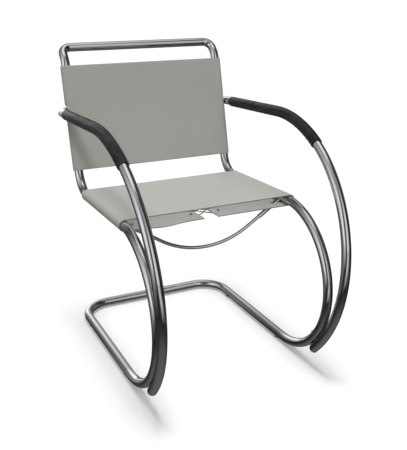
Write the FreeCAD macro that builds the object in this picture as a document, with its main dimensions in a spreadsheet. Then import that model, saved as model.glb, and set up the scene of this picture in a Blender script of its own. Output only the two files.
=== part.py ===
"""Cantilever armchair of bent steel tube with laced leather slings, in millimetres.

The chair faces -Y, the sitter's left is +X, and it stands on z = 0.
One closed loop of tube makes the floor runners, the front curves, the seat rails, the
uprights and the top bar. Two arm tubes hug that loop at the front and hook behind it.
"""
import FreeCAD
import Part
import math
import os
import Sketcher

Vector = FreeCAD.Vector

DRIVING_SIZES = {
    # steel tube of the frame and of the arms
    "tube_diameter": 24.0,
    "tube_wall": 2.0,
    "frame_half_width": 226.0,
    "glide_thickness": 3.0,
    # side view of the loop, as a tube bender would read it
    "floor_depth": 420.5,
    "floor_corner_radius": 80.0,
    "front_curve_radius": 200.0,
    "seat_slope": 1.65,
    "seat_rail_length": 341.4,
    "rail_joint_reach": 165.0,
    "rear_bend_radius": 68.0,
    "back_lean": 13.1,
    "back_length": 353.2,
    "kink_radius": 40.0,
    "head_lean": 46.7,
    "head_length": 46.1,
    "top_corner_radius": 24.0,
    # arm tubes
    "arm_arc_radius": 340.1,
    "arm_contact_angle": 38.4,
    "arm_tail_angle": 5.2,
    "arm_slope": 2.57,
    "arm_stub_length": 6.7,
    "tube_gap": 0.3,
    # leather wraps on the arms
    "wrap_thickness": 2.2,
    "wrap_gap": 0.15,
    "wrap_front_angle": 31.6,
    "wrap_run": 250.0,
    # leather slings
    "sling_thickness": 2.9,
    "sling_gap": 0.3,
    "sling_front_angle": 5.1,
    "sling_top_margin": 2.8,
    "flap_opening": 37.4,
    "notch_gap": 2.5,
    # eyelets and laces
    "eyelet_count": 9,
    "seat_row_margin": 22.9,
    "back_row_margin": 21.35,
    "eyelet_inset": 19.3,
    "eyelet_diameter": 7.4,
    "eyelet_bore": 5.4,
    "eyelet_rise": 0.4,
    "eyelet_gap": 0.05,
    "lace_diameter": 3.0,
    "lace_gap": 0.2,
    "knot_diameter": 6.8,
    "slant_edge_gap": 4.5,
    "slant_overshoot": 2.0,
    "slant_bend_cut": 2.0,
    # stretcher rod under the front of the seat
    "stretcher_reach": 24.6,
    "stretcher_radius": 224.6,
    "stretcher_end_angle": 32.6,
    "stretcher_diameter": 9.0,
    "stretcher_grip": 8.0,
    "stretcher_gap": 0.15,
    "ferrule_diameter": 12.0,
    "ferrule_length": 71.0,
    "ferrule_gap": 0.1,
    "ferrule_slot_gap": 1.5,
    # inner sleeves that join the two halves of each seat rail
    "sleeve_length": 60.0,
    "sleeve_wall": 2.5,
    "sleeve_gap": 0.1,
    "grub_screw_diameter": 5.0,
    "grub_screw_length": 4.2,
    "grub_screw_gap": 0.1,
    # plugs and screws
    "plug_depth": 9.0,
    "stub_plug_depth": 3.0,
    "plug_gap": 0.15,
    "plug_dome": 8.0,
    "screw_diameter": 6.0,
    "screw_head_diameter": 11.0,
    "screw_head_height": 3.4,
    "screw_grip": 5.0,
    "screw_gap": 0.2,
    "head_seat_gap": 0.15,
    # pads under the runners
    "glide_diameter": 15.0,
    "glide_height": 5.4,
    "glide_front_reach": 22.0,
    "glide_rear_reach": 318.0,
    # how far outside a wall each drilled hole sets out
    "drill_start": 4.0,
    # how far back along the arm's straight run its hook sets out, so that the two fuse
    "hook_overlap": 2.0,
}

WORKED_OUT_SIZES = {
    "tube_radius": "tube_diameter / 2",
    "bore_diameter": "tube_diameter - 2 * tube_wall",
    "floor_axis": "glide_thickness + tube_radius",
    "curve_height": "floor_axis + front_curve_radius",
    "floor_straight": "floor_depth - floor_corner_radius",
    "floor_bar_straight": "2 * (frame_half_width - floor_corner_radius)",
    "front_turn": "180 + seat_slope",
    # seat rail and back, measured from the centre of the front curve
    "rail_start_reach": "front_curve_radius * sin(seat_slope)",
    "rail_start_rise": "front_curve_radius * cos(seat_slope)",
    "corner_reach": "rail_start_reach + seat_rail_length * cos(seat_slope)",
    "corner_rise": "rail_start_rise - seat_rail_length * sin(seat_slope)",
    "rear_turn": "90 - back_lean + seat_slope",
    "rear_cut": "rear_bend_radius * tan(rear_turn / 2)",
    "rail_straight": "seat_rail_length - rear_cut",
    "rail_rear_straight": "rail_straight - rail_joint_reach",
    "kink_turn": "head_lean - back_lean",
    "kink_cut": "kink_radius * tan(kink_turn / 2)",
    "upright_straight": "back_length - rear_cut - kink_cut",
    "head_straight": "head_length - kink_cut - top_corner_radius",
    "top_bar_straight": "2 * (frame_half_width - top_corner_radius)",
    "bar_reach": "corner_reach + back_length * sin(back_lean) + head_length * sin(head_lean)",
    # arm tube, measured in its own leaning plane from the centre of the front curve
    "touch_distance": "tube_diameter + tube_gap",
    "arm_elbow_radius": "touch_distance",
    "arc_offset": "arm_arc_radius - front_curve_radius - touch_distance",
    "arm_centre_reach": "arc_offset * cos(arm_contact_angle)",
    "arm_centre_rise": "arc_offset * sin(arm_contact_angle)",
    "arm_end_angle": "90 + arm_contact_angle + arm_tail_angle",
    "arm_turn": "arm_end_angle + arm_slope",
    "arm_run_reach": "arm_centre_reach + arm_arc_radius * sin(arm_slope)",
    "arm_run_rise": "arm_centre_rise + arm_arc_radius * cos(arm_slope)",
    "contact_drop": "(arm_arc_radius - arc_offset) * sin(arm_contact_angle)",
    "side_reach": "corner_reach + (arm_run_rise - corner_rise) * tan(back_lean)",
    "side_rise": "arm_run_rise - (side_reach - arm_run_reach) * tan(arm_slope)",
    "arm_splay": "asin(touch_distance / (side_rise + contact_drop)) / 1 deg",
    "arm_base_offset": "frame_half_width + touch_distance - side_rise * sin(arm_splay)",
    "hook_reach": "(arm_run_reach - corner_reach) * cos(back_lean)",
    "hook_rise": "(arm_run_rise * cos(arm_splay) - corner_rise) * sin(back_lean)",
    "hook_rate": "cos(arm_slope) * cos(back_lean) + sin(arm_slope) * cos(arm_splay) * sin(back_lean)",
    "arm_run_length": "(touch_distance - hook_reach + hook_rise) / hook_rate",
    "arm_straight": "arm_run_length - arm_elbow_radius",
    "wrap_turn": "wrap_front_angle + arm_slope",
    "wrap_bore": "tube_diameter + 2 * wrap_gap",
    "wrap_diameter": "wrap_bore + 2 * wrap_thickness",
    # slings, eyelets and laces
    "sling_inner_radius": "tube_radius + sling_gap",
    "sling_outer_radius": "sling_inner_radius + sling_thickness",
    "flap_axis": "sling_inner_radius + sling_thickness / 2",
    "panel_width": "2 * frame_half_width",
    "flap_width": "frame_half_width - flap_opening / 2",
    "eyelet_offset": "flap_opening / 2 + eyelet_inset",
    "back_sling_length": "upright_straight - sling_top_margin",
    "seat_eyelet_span": "rail_straight - 2 * seat_row_margin",
    "back_eyelet_span": "back_sling_length - 2 * back_row_margin",
    "eyelet_hole": "eyelet_diameter + 2 * eyelet_gap",
    "eyelet_length": "sling_thickness + 2 * eyelet_rise",
    "notch_half_height": "tube_radius + notch_gap",
    "notch_width": "tube_diameter + sling_outer_radius + notch_gap",
    "notch_side": "sqrt(sling_outer_radius ^ 2 - (touch_distance - tube_radius) ^ 2)",
    "notch_depth": "sling_outer_radius + notch_side + notch_gap",
    "lace_rise": "eyelet_length / 2 + lace_diameter / 2 + lace_gap",
    # stretcher rod
    "stretcher_turn": "2 * stretcher_end_angle",
    "rod_axis_rise": "rail_start_rise - (stretcher_reach - rail_start_reach) * tan(seat_slope)",
    "rod_reach_in": "stretcher_radius * sin(stretcher_end_angle)",
    "rod_end_run": "(frame_half_width - rod_reach_in) / cos(stretcher_end_angle)",
    "rod_tip_gap": "tube_radius - tube_wall - stretcher_grip",
    "rod_end_straight": "rod_end_run - rod_tip_gap",
    "rod_hole": "stretcher_diameter + 2 * stretcher_gap",
    "tube_seat": "tube_diameter + 2 * ferrule_gap",
    "slot_centre": "frame_half_width - flap_axis / tan(stretcher_end_angle)",
    "slot_half_width": "ferrule_diameter / 2 + ferrule_slot_gap",
    "slot_straight": "ferrule_diameter / sin(stretcher_end_angle) + sling_thickness - ferrule_diameter",
    "ferrule_bore": "stretcher_diameter + 2 * ferrule_gap",
    "ferrule_start": "tube_radius + ferrule_length",
    # joints inside the seat rails
    "sleeve_diameter": "bore_diameter - 2 * sleeve_gap",
    "sleeve_bore": "sleeve_diameter - 2 * sleeve_wall",
    "grub_hole": "grub_screw_diameter + 2 * grub_screw_gap",
    # plugs and screws
    "plug_diameter": "bore_diameter - 2 * plug_gap",
    "plug_step": "tube_radius - plug_diameter / 2",
    "dome_radius": "(tube_radius ^ 2 + plug_dome ^ 2) / (2 * plug_dome)",
    "dome_sweep": "asin(tube_radius / dome_radius) / 1 deg",
    "screw_hole": "screw_diameter + 2 * screw_gap",
    "screw_shank": "touch_distance + tube_wall + screw_grip",
    "through_cut": "tube_diameter + 2 * drill_start",
    "screw_step": "(screw_head_diameter - screw_diameter) / 2",
    "head_curve": "((screw_head_diameter / 2) ^ 2 + screw_head_height ^ 2) / (2 * screw_head_height)",
    "head_sweep": "asin(screw_head_diameter / 2 / head_curve) / 1 deg",
    # the whole chair is centred on the origin from front to back
    "front_reach": "arm_arc_radius - arm_centre_reach + tube_radius",
    "rear_reach": "bar_reach + tube_radius",
    "curve_centre": "(front_reach - rear_reach) / 2",
}

os.makedirs("parts", exist_ok=True)
doc = FreeCAD.newDocument("cantilever_chair")
sheet = doc.addObject("Spreadsheet::Sheet", "Sizes")


def fill_sheet():
    """Write the driving sizes as plain numbers, then the formulas that follow from them."""
    row = 1
    for alias, number in DRIVING_SIZES.items():
        sheet.set(f"A{row}", alias)
        sheet.set(f"B{row}", str(number))
        sheet.setAlias(f"B{row}", alias)
        row += 1
    for alias, formula in WORKED_OUT_SIZES.items():
        sheet.set(f"A{row}", alias)
        sheet.set(f"B{row}", "=" + formula)
        sheet.setAlias(f"B{row}", alias)
        row += 1
    doc.recompute()


def size(alias):
    """The number in the sheet under this name."""
    return float(sheet.get(alias))


def measure(formula):
    """The number that a formula gives: a name from the sheet, or a sum of such names."""
    return float(sheet.evalExpression(formula))


def bind(owner, target, formula):
    """Tie a property to names of the sheet, written as Sizes.name."""
    owner.setExpression(target, formula)


def placed(origin, along, across):
    """A placement whose local x runs along one direction and local y across it."""
    x_axis = Vector(along).normalize()
    z_axis = x_axis.cross(Vector(across)).normalize()
    y_axis = z_axis.cross(x_axis)
    return FreeCAD.Placement(Vector(origin), FreeCAD.Rotation(x_axis, y_axis, z_axis, "XZY"))


def new_body(label):
    body = doc.addObject("PartDesign::Body", label)
    body.Label = label
    return body


def origin_plane(body, role):
    return next(item for item in body.Origin.OriginFeatures if item.Role == role)


def new_sketch(body, name, placement):
    """A sketch of this body on its own XY plane, moved to the placement."""
    sketch = body.newObject("Sketcher::SketchObject", name)
    sketch.AttachmentSupport = (origin_plane(body, "XY_Plane"), [""])
    sketch.MapMode = "FlatFace"
    sketch.AttachmentOffset = placement
    return sketch


def circle(sketch, diameter, name, side=0, offset=None):
    """A circle on the origin, or at an offset to one side along local x."""
    distance = 0.0 if offset is None else measure(offset)
    middle = Vector(side * distance, 0, 0)
    index = sketch.addGeometry(Part.Circle(middle, Vector(0, 0, 1), measure(diameter) / 2))
    number = sketch.addConstraint(Sketcher.Constraint("Diameter", index, measure(diameter)))
    sketch.renameConstraint(number, name)
    bind(sketch, "Constraints." + name, diameter)
    if offset is None:
        sketch.addConstraint(Sketcher.Constraint("Coincident", index, 3, -1, 1))
        return
    sketch.addConstraint(Sketcher.Constraint("PointOnObject", index, 3, -1))
    number = sketch.addConstraint(Sketcher.Constraint("Distance", index, 3, -1, 1, distance))
    sketch.renameConstraint(number, name + "_offset")
    bind(sketch, f"Constraints.{name}_offset", offset)


def run(length):
    return ("run", length)


def bend(radius, angle):
    return ("bend", radius, angle)


def corner(angle):
    return ("corner", angle)


def tie_line(sketch, index, name, length):
    """Tie a line's length to the sheet."""
    number = sketch.addConstraint(Sketcher.Constraint("Distance", index, measure(length)))
    sketch.renameConstraint(number, name)
    bind(sketch, "Constraints." + name, length)


def tie_arc(sketch, index, name, radius, sweep):
    """Tie an arc's radius and its turn to the sheet."""
    number = sketch.addConstraint(Sketcher.Constraint("Radius", index, measure(radius)))
    sketch.renameConstraint(number, name)
    bind(sketch, "Constraints." + name, radius)
    turn = math.radians(abs(measure(sweep)))
    number = sketch.addConstraint(Sketcher.Constraint("Angle", index, turn))
    sketch.renameConstraint(number, name + "_turn")
    bind(sketch, f"Constraints.{name}_turn", f"abs({sweep})")


def join(sketch, index, first_end, last, corner_angle, closing):
    """Hold a piece of an outline to the piece before it, or to the sketch's origin."""
    if last is None:
        sketch.addConstraint(Sketcher.Constraint("Coincident", index, first_end, -1, 1))
        return
    before, before_end, before_is_line = last
    is_line = sketch.Geometry[index].TypeId == "Part::GeomLineSegment"
    if corner_angle is None and not (closing and is_line):
        sketch.addConstraint(Sketcher.Constraint("Tangent", before, before_end, index, first_end))
        return
    sketch.addConstraint(Sketcher.Constraint("Coincident", before, before_end, index, first_end))
    if is_line and before_is_line and not closing and abs(corner_angle) == 90.0:
        sketch.addConstraint(Sketcher.Constraint("Perpendicular", before, index))


def trace(sketch, steps, closed=False):
    """Draw runs, bends and corners one after another from the sketch's origin.

    The first piece sets out along local x, and a left turn is positive.
    Returns the end point and the last heading.
    """
    point = Vector(0, 0, 0)
    heading = 0.0
    corner_angle = None
    last = None
    for count, step in enumerate(steps):
        closing = closed and count == len(steps) - 1
        if step[0] == "corner":
            corner_angle = step[1]
            heading += corner_angle
            continue
        ahead = Vector(math.cos(math.radians(heading)), math.sin(math.radians(heading)), 0)
        if step[0] == "run":
            end = point + ahead * measure(step[1])
            index = sketch.addGeometry(Part.LineSegment(point, end))
            ends = (1, 2)
            if not closing:
                tie_line(sketch, index, f"run_{count}", step[1])
            if last is None:
                sketch.addConstraint(Sketcher.Constraint("Horizontal", index))
        else:
            radius = measure(step[1])
            sweep = measure(step[2])
            side = math.copysign(1.0, sweep)
            centre = point + Vector(-ahead.y, ahead.x, 0) * (side * radius)
            spoke = math.atan2(point.y - centre.y, point.x - centre.x)
            finish = spoke + math.radians(sweep)
            whole = Part.Circle(centre, Vector(0, 0, 1), radius)
            arc = Part.ArcOfCircle(whole, min(spoke, finish), max(spoke, finish))
            index = sketch.addGeometry(arc)
            ends = (1, 2) if side > 0 else (2, 1)
            if not closing:
                tie_arc(sketch, index, f"bend_{count}", step[1], step[2])
            if last is None:
                sketch.addConstraint(Sketcher.Constraint("PointOnObject", index, 3, -2))
            end = centre + Vector(math.cos(finish), math.sin(finish), 0) * radius
            heading += sweep
        join(sketch, index, ends[0], last, corner_angle, closing)
        corner_angle = None
        last = (index, ends[1], step[0] == "run")
        point = end
    if closed:
        sketch.addConstraint(Sketcher.Constraint("Coincident", last[0], last[1], 0, 1))
    return point, heading


def every_edge(sketch):
    return (sketch, [f"Edge{number + 1}" for number in range(sketch.GeometryCount)])


def bent_tube(body, name, start, ahead, towards, steps, rings):
    """Sweep a ring along runs and bends that set out from a point.

    Left bends turn towards the given side. Returns the end point and the end direction.
    """
    across = ahead.cross(towards)
    ring = new_sketch(body, name + "_ring", placed(start, across, ahead.cross(across)))
    for number, diameter in enumerate(rings):
        circle(ring, diameter, f"ring_{number}")
    place = placed(start, ahead, towards)
    path = new_sketch(body, name + "_path", place)
    end, heading = trace(path, steps)
    pipe = body.newObject("PartDesign::AdditivePipe", name)
    pipe.Profile = ring
    pipe.Spine = every_edge(path)
    direction = Vector(math.cos(math.radians(heading)), math.sin(math.radians(heading)), 0)
    return place.multVec(end), place.Rotation.multVec(direction)


def padded(body, name, place, length):
    """Pad the sketch at a placement along its normal; the caller draws the sketch."""
    sketch = new_sketch(body, name + "_outline", place)
    pad = body.newObject("PartDesign::Pad", name)
    pad.Profile = sketch
    bind(pad, "Length", length)
    return sketch


def pocketed(body, name, place, length):
    """Cut the sketch at a placement against its normal; the caller draws the sketch."""
    sketch = new_sketch(body, name + "_outline", place)
    pocket = body.newObject("PartDesign::Pocket", name)
    pocket.Profile = sketch
    bind(pocket, "Length", length)
    return sketch


def drill(body, name, start, direction, diameter, depth):
    """A round hole from a point outside the piece, along a direction."""
    guide = Vector(1, 0, 0) if abs(direction.x) < 0.9 else Vector(0, 1, 0)
    side = direction.cross(guide)
    sketch = pocketed(body, name, placed(start, side, side.cross(direction)), depth)
    circle(sketch, diameter, "hole")


def ring_pad(body, name, start, direction, rings, length):
    """A straight ring from a point along a direction."""
    guide = Vector(1, 0, 0) if abs(direction.x) < 0.9 else Vector(0, 1, 0)
    side = direction.cross(guide)
    sketch = padded(body, name, placed(start, side, direction.cross(side)), length)
    for number, diameter in enumerate(rings):
        circle(sketch, diameter, f"ring_{number}")


def mirror_across(body, name, originals):
    """Repeat features of one side on the other side of the chair."""
    mirrored = body.newObject("PartDesign::Mirrored", name)
    mirrored.Originals = originals
    mirrored.MirrorPlane = (origin_plane(body, "YZ_Plane"), [""])
    body.Tip = mirrored


def row_of(body, name, feature, sketch, length, copies):
    """Repeat a feature along its sketch's local y."""
    pattern = body.newObject("PartDesign::LinearPattern", name)
    pattern.Originals = [feature]
    pattern.Direction = (sketch, ["V_Axis"])
    bind(pattern, "Length", length)
    bind(pattern, "Occurrences", copies)
    body.Tip = pattern


def turned_piece(body, name, tip, direction, stem, step, cap, cap_radius, cap_sweep, stem_radius):
    """A stem with a domed cap, turned about the line from its tip towards the cap."""
    guide = Vector(1, 0, 0) if abs(direction.x) < 0.9 else Vector(0, 1, 0)
    sketch = new_sketch(body, name + "_outline", placed(tip, direction, direction.cross(guide)))
    steps = [
        run(f"{stem} + {cap}"),
        corner(90.0),
        bend(cap_radius, cap_sweep),
        corner(180.0 - measure(cap_sweep)),
        run(step),
        corner(-90.0),
        run(stem),
        corner(90.0),
        run(stem_radius),
    ]
    trace(sketch, steps, closed=True)
    spin = body.newObject("PartDesign::Revolution", name)
    spin.Profile = sketch
    spin.ReferenceAxis = (sketch, ["H_Axis"])
    spin.Angle = 360.0


fill_sheet()

SIDES = {"right": -1.0, "left": 1.0}
TUBE = ("Sizes.tube_diameter", "Sizes.bore_diameter")
ACROSS = Vector(1, 0, 0)
REARWARDS = Vector(0, 1, 0)
UP = Vector(0, 0, 1)
HALF_WIDTH = size("frame_half_width")
CURVE_CENTRE = Vector(0, size("curve_centre"), size("curve_height"))


def leaning(angle):
    """The direction in side view that leans back by an angle from straight up."""
    return Vector(0, math.sin(math.radians(angle)), math.cos(math.radians(angle)))


RAIL = leaning(90.0 + size("seat_slope"))
RAIL_UP = leaning(size("seat_slope"))
BACK = leaning(size("back_lean"))
BEHIND_BACK = leaning(90.0 + size("back_lean"))
HEAD = leaning(size("head_lean"))
RAIL_START = CURVE_CENTRE + RAIL_UP * size("front_curve_radius")
RAIL_CORNER = RAIL_START + RAIL * size("seat_rail_length")
RAIL_JOINT = RAIL_START + RAIL * size("rail_joint_reach")
BACK_START = RAIL_CORNER + BACK * size("rear_cut")
CONTACT = Vector(0, -math.cos(math.radians(size("arm_contact_angle"))),
                 -math.sin(math.radians(size("arm_contact_angle"))))
STRETCHER_END = CURVE_CENTRE + Vector(0, size("stretcher_reach"), size("rod_axis_rise"))
DRILL_START = size("drill_start")
JOINT_SCREW_OFFSET = size("sleeve_length") / 4


def at_side(point, side):
    """A point of the side view, moved out to the middle of that side's frame tube."""
    return point + ACROSS * (side * HALF_WIDTH)


def rod_direction(side):
    """Outwards and up along the straight end of the stretcher rod."""
    angle = math.radians(size("stretcher_end_angle"))
    return Vector(side * math.cos(angle), 0, math.sin(angle))


class ArmPlane:
    """The leaning plane that holds one arm tube."""

    def __init__(self, side):
        lean = math.radians(size("arm_splay"))
        self.side = side
        self.upwards = Vector(side * math.sin(lean), 0, math.cos(lean))
        self.inwards = Vector(-side * math.cos(lean), 0, math.sin(lean))
        origin = CURVE_CENTRE + ACROSS * (side * size("arm_base_offset"))
        centre = REARWARDS * size("arm_centre_reach") + self.upwards * size("arm_centre_rise")
        self.centre = origin + centre

    def on_arc(self, angle):
        """The point, and the direction towards the arm rest, at an angle forward of the top."""
        turn = math.radians(angle)
        spoke = self.upwards * math.cos(turn) - REARWARDS * math.sin(turn)
        ahead = REARWARDS * math.cos(turn) + self.upwards * math.sin(turn)
        return self.centre + spoke * size("arm_arc_radius"), ahead, spoke * -1.0

    def hook_point(self):
        """Where the hook crosses behind the upright's axis."""
        start, ahead, _ = self.on_arc(-size("arm_slope"))
        turn_point = start + ahead * size("arm_run_length")
        reach = (abs(turn_point.x) - HALF_WIDTH) / abs(self.inwards.x)
        return turn_point + self.inwards * reach


ARMS = {name: ArmPlane(side) for name, side in SIDES.items()}


def make_base_frame():
    body = new_body("base_frame")
    side = SIDES["right"]
    rear = Vector(side * HALF_WIDTH, CURVE_CENTRE.y + size("floor_straight"), size("floor_axis"))
    side_steps = [
        run("Sizes.floor_straight"),
        bend("Sizes.front_curve_radius", "Sizes.front_turn"),
        run("Sizes.rail_joint_reach"),
    ]
    bent_tube(body, "front_loop", rear, REARWARDS * -1.0, UP, side_steps, TUBE)
    bar_steps = [
        bend("Sizes.floor_corner_radius", "90"),
        run("Sizes.floor_bar_straight"),
        bend("Sizes.floor_corner_radius", "90"),
    ]
    bent_tube(body, "floor_bar", rear, REARWARDS, ACROSS, bar_steps, TUBE)
    outwards = rod_direction(side)
    rod_start = at_side(STRETCHER_END, side) - outwards * (size("tube_radius") + DRILL_START)
    drill(body, "rod_hole_cut", rod_start, outwards, "Sizes.rod_hole", "Sizes.tube_radius")
    joint_screw = joint_screw_start(side, -1.0)
    drill(body, "joint_hole_cut", joint_screw, RAIL_UP, "Sizes.grub_hole", "Sizes.tube_radius")
    inside = contact_screw_head(side) - CONTACT * DRILL_START
    drill(body, "contact_hole_cut", inside, CONTACT, "Sizes.screw_hole", "Sizes.through_cut")
    features = ["front_loop", "rod_hole_cut", "joint_hole_cut", "contact_hole_cut"]
    mirror_across(body, "other_side", [doc.getObject(name) for name in features])
    return body


def joint_screw_start(side, end):
    """Just below the seat rail, under one half of the rail's inner sleeve."""
    along = RAIL_JOINT + RAIL * (end * JOINT_SCREW_OFFSET)
    return at_side(along, side) - RAIL_UP * (size("tube_radius") + DRILL_START)


def contact_screw_head(side):
    """On the inside of the front curve, opposite the arm tube that touches it."""
    reach = size("front_curve_radius") - size("tube_radius") - size("head_seat_gap")
    return at_side(CURVE_CENTRE + CONTACT * reach, side)


def hook_screw_head(name):
    """On the rear of the arm's hook, in line with the upright."""
    return ARMS[name].hook_point() + BEHIND_BACK * size("tube_radius")


def make_upper_frame():
    body = new_body("upper_frame")
    side = SIDES["right"]
    side_steps = [
        run("Sizes.rail_rear_straight"),
        bend("Sizes.rear_bend_radius", "Sizes.rear_turn"),
        run("Sizes.upright_straight"),
        bend("Sizes.kink_radius", "-Sizes.kink_turn"),
        run("Sizes.head_straight"),
    ]
    joint = at_side(RAIL_JOINT, side)
    top, _ = bent_tube(body, "upright", joint, RAIL, RAIL_UP, side_steps, TUBE)
    bar_steps = [
        bend("Sizes.top_corner_radius", "90"),
        run("Sizes.top_bar_straight"),
        bend("Sizes.top_corner_radius", "90"),
    ]
    bent_tube(body, "top_bar", top, HEAD, ACROSS, bar_steps, TUBE)
    joint_screw = joint_screw_start(side, 1.0)
    drill(body, "upper_joint_cut", joint_screw, RAIL_UP, "Sizes.grub_hole", "Sizes.tube_radius")
    outside = hook_screw_head("right") + BEHIND_BACK * DRILL_START
    reach = "Sizes.touch_distance + Sizes.tube_radius + Sizes.drill_start"
    drill(body, "hook_hole_cut", outside, BEHIND_BACK * -1.0, "Sizes.screw_hole", reach)
    features = ["upright", "upper_joint_cut", "hook_hole_cut"]
    mirror_across(body, "other_upright", [doc.getObject(name) for name in features])
    return body


def make_rail_sleeve(name):
    side = SIDES[name]
    body = new_body("rail_sleeve_" + name)
    start = at_side(RAIL_JOINT, side) - RAIL * (size("sleeve_length") / 2)
    rings = ("Sizes.sleeve_diameter", "Sizes.sleeve_bore")
    ring_pad(body, "sleeve_" + name, start, RAIL, rings, "Sizes.sleeve_length")
    for number, end in enumerate((-1.0, 1.0)):
        hole = f"sleeve_{name}_hole_{number}"
        start = joint_screw_start(side, end)
        drill(body, hole, start, RAIL_UP, "Sizes.grub_hole", "Sizes.tube_radius")
    return body


def make_joint_screws():
    """Four headless screws, flush with the underside of the seat rails."""
    screws = []
    for name, side in SIDES.items():
        for number, end in enumerate((-1.0, 1.0)):
            screw = doc.addObject("Part::Cylinder", f"joint_screw_{name}_{number}")
            bind(screw, "Radius", "Sizes.grub_screw_diameter / 2")
            bind(screw, "Height", "Sizes.grub_screw_length")
            base = joint_screw_start(side, end) + RAIL_UP * DRILL_START
            screw.Placement = FreeCAD.Placement(base, FreeCAD.Rotation(UP, RAIL_UP))
            screws.append(screw)
    return grouped("joint_screws", screws)


def grouped(label, pieces):
    """One node that holds several separate, identical pieces."""
    group = doc.addObject("Part::Compound", label)
    group.Label = label
    group.Links = pieces
    return group


def make_arm_tube(name):
    arm = ARMS[name]
    body = new_body("arm_tube_" + name)
    start, ahead, inside = arm.on_arc(size("arm_end_angle"))
    steps = [bend("Sizes.arm_arc_radius", "Sizes.arm_turn"), run("Sizes.arm_straight")]
    end, direction = bent_tube(body, "arm_" + name, start, ahead, inside, steps, TUBE)
    hook_steps = [
        run("Sizes.hook_overlap"),
        bend("Sizes.arm_elbow_radius", "90"),
        run("Sizes.arm_stub_length"),
    ]
    hook_start = end - direction * size("hook_overlap")
    bent_tube(body, "hook_" + name, hook_start, direction, arm.inwards, hook_steps, TUBE)
    outside = hook_screw_head(name) + BEHIND_BACK * DRILL_START
    forwards = BEHIND_BACK * -1.0
    drill(body, "hook_cut_" + name, outside, forwards, "Sizes.screw_hole", "Sizes.through_cut")
    inside = contact_screw_head(arm.side)
    drill(body, "contact_cut_" + name, inside, CONTACT, "Sizes.screw_hole", "Sizes.screw_shank")
    return body


def make_arm_plugs(name):
    """The domed plugs that close the lower end of an arm tube and the end of its hook."""
    arm = ARMS[name]
    cap = ("Sizes.plug_step", "Sizes.plug_dome", "Sizes.dome_radius", "Sizes.dome_sweep",
           "Sizes.plug_diameter / 2")
    start, ahead, _ = arm.on_arc(size("arm_end_angle"))
    foot = new_body("arm_foot_plug_" + name)
    tip = start + ahead * size("plug_depth")
    turned_piece(foot, "foot_plug_" + name, tip, ahead * -1.0, "Sizes.plug_depth", *cap)
    start, ahead, _ = arm.on_arc(-size("arm_slope"))
    corner_point = start + ahead * size("arm_run_length")
    reach = size("arm_elbow_radius") + size("arm_stub_length")
    end = corner_point + arm.inwards * reach
    hook = new_body("arm_hook_plug_" + name)
    tip = end - arm.inwards * size("stub_plug_depth")
    turned_piece(hook, "hook_plug_" + name, tip, arm.inwards, "Sizes.stub_plug_depth", *cap)
    return foot, hook


def make_screws(label, seats, direction):
    """Domed screws through two tubes; each seat is the point under a screw's head."""
    screws = []
    for name, seat in seats.items():
        screw = new_body(f"{label}_{name}")
        tip = seat + direction * size("screw_shank")
        turned_piece(screw, f"{label}_{name}_turned", tip, direction * -1.0, "Sizes.screw_shank",
                     "Sizes.screw_step", "Sizes.screw_head_height", "Sizes.head_curve",
                     "Sizes.head_sweep", "Sizes.screw_diameter / 2")
        screws.append(screw)
    return grouped(label, screws)


def make_arm_wrap(name):
    arm = ARMS[name]
    body = new_body("arm_wrap_" + name)
    start, ahead, inside = arm.on_arc(size("wrap_front_angle"))
    steps = [bend("Sizes.arm_arc_radius", "Sizes.wrap_turn"), run("Sizes.wrap_run")]
    rings = ("Sizes.wrap_diameter", "Sizes.wrap_bore")
    bent_tube(body, "wrap_" + name, start, ahead, inside, steps, rings)
    return body


def make_stretcher_rod():
    body = new_body("stretcher_rod")
    side = SIDES["right"]
    outwards = rod_direction(side)
    tip = at_side(STRETCHER_END, side) - outwards * size("rod_tip_gap")
    steps = [
        run("Sizes.rod_end_straight"),
        bend("Sizes.stretcher_radius", "Sizes.stretcher_turn"),
        run("Sizes.rod_end_straight"),
    ]
    bent_tube(body, "rod", tip, outwards * -1.0, UP, steps, ("Sizes.stretcher_diameter",))
    return body


def make_ferrule(name):
    side = SIDES[name]
    body = new_body("stretcher_ferrule_" + name)
    outwards = rod_direction(side)
    end = at_side(STRETCHER_END, side)
    start = end - outwards * size("ferrule_start")
    rings = ("Sizes.ferrule_diameter", "Sizes.ferrule_bore")
    ring_pad(body, "ferrule_" + name, start, outwards, rings, "Sizes.ferrule_start")
    beside = end - RAIL * size("ferrule_diameter")
    reach = "2 * Sizes.ferrule_diameter"
    drill(body, "ferrule_seat_" + name, beside, RAIL, "Sizes.tube_seat", reach)
    return body


def sling_outline(sketch):
    """Section of a sling: a panel over both tubes, wrapped round them, with two flaps."""
    steps = [
        run("Sizes.flap_width"),
        bend("Sizes.sling_outer_radius", "180"),
        run("Sizes.panel_width"),
        bend("Sizes.sling_outer_radius", "180"),
        run("Sizes.flap_width"),
        corner(90.0),
        run("Sizes.sling_thickness"),
        corner(90.0),
        run("Sizes.flap_width"),
        bend("Sizes.sling_inner_radius", "-180"),
        run("Sizes.panel_width"),
        bend("Sizes.sling_inner_radius", "-180"),
        run("Sizes.flap_width"),
        corner(90.0),
        run("Sizes.sling_thickness"),
    ]
    trace(sketch, steps, closed=True)


def outline_start(axis_point, towards_panel):
    """The outer corner of the left flap, from a point midway between the two tubes."""
    aside = ACROSS * (size("flap_opening") / 2)
    return axis_point + aside - towards_panel * size("sling_outer_radius")


class LaceField:
    """Where one sling's flaps are laced: the first row's middle, directions and length."""

    def __init__(self, middle, along, outwards, span):
        self.middle = middle
        self.along = along
        self.outwards = outwards
        self.span = span

    def eyelet(self, side, row):
        aside = ACROSS * (side * size("eyelet_offset"))
        pitch = measure(self.span) / (size("eyelet_count") - 1)
        return self.middle + aside + self.along * (row * pitch)


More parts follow.
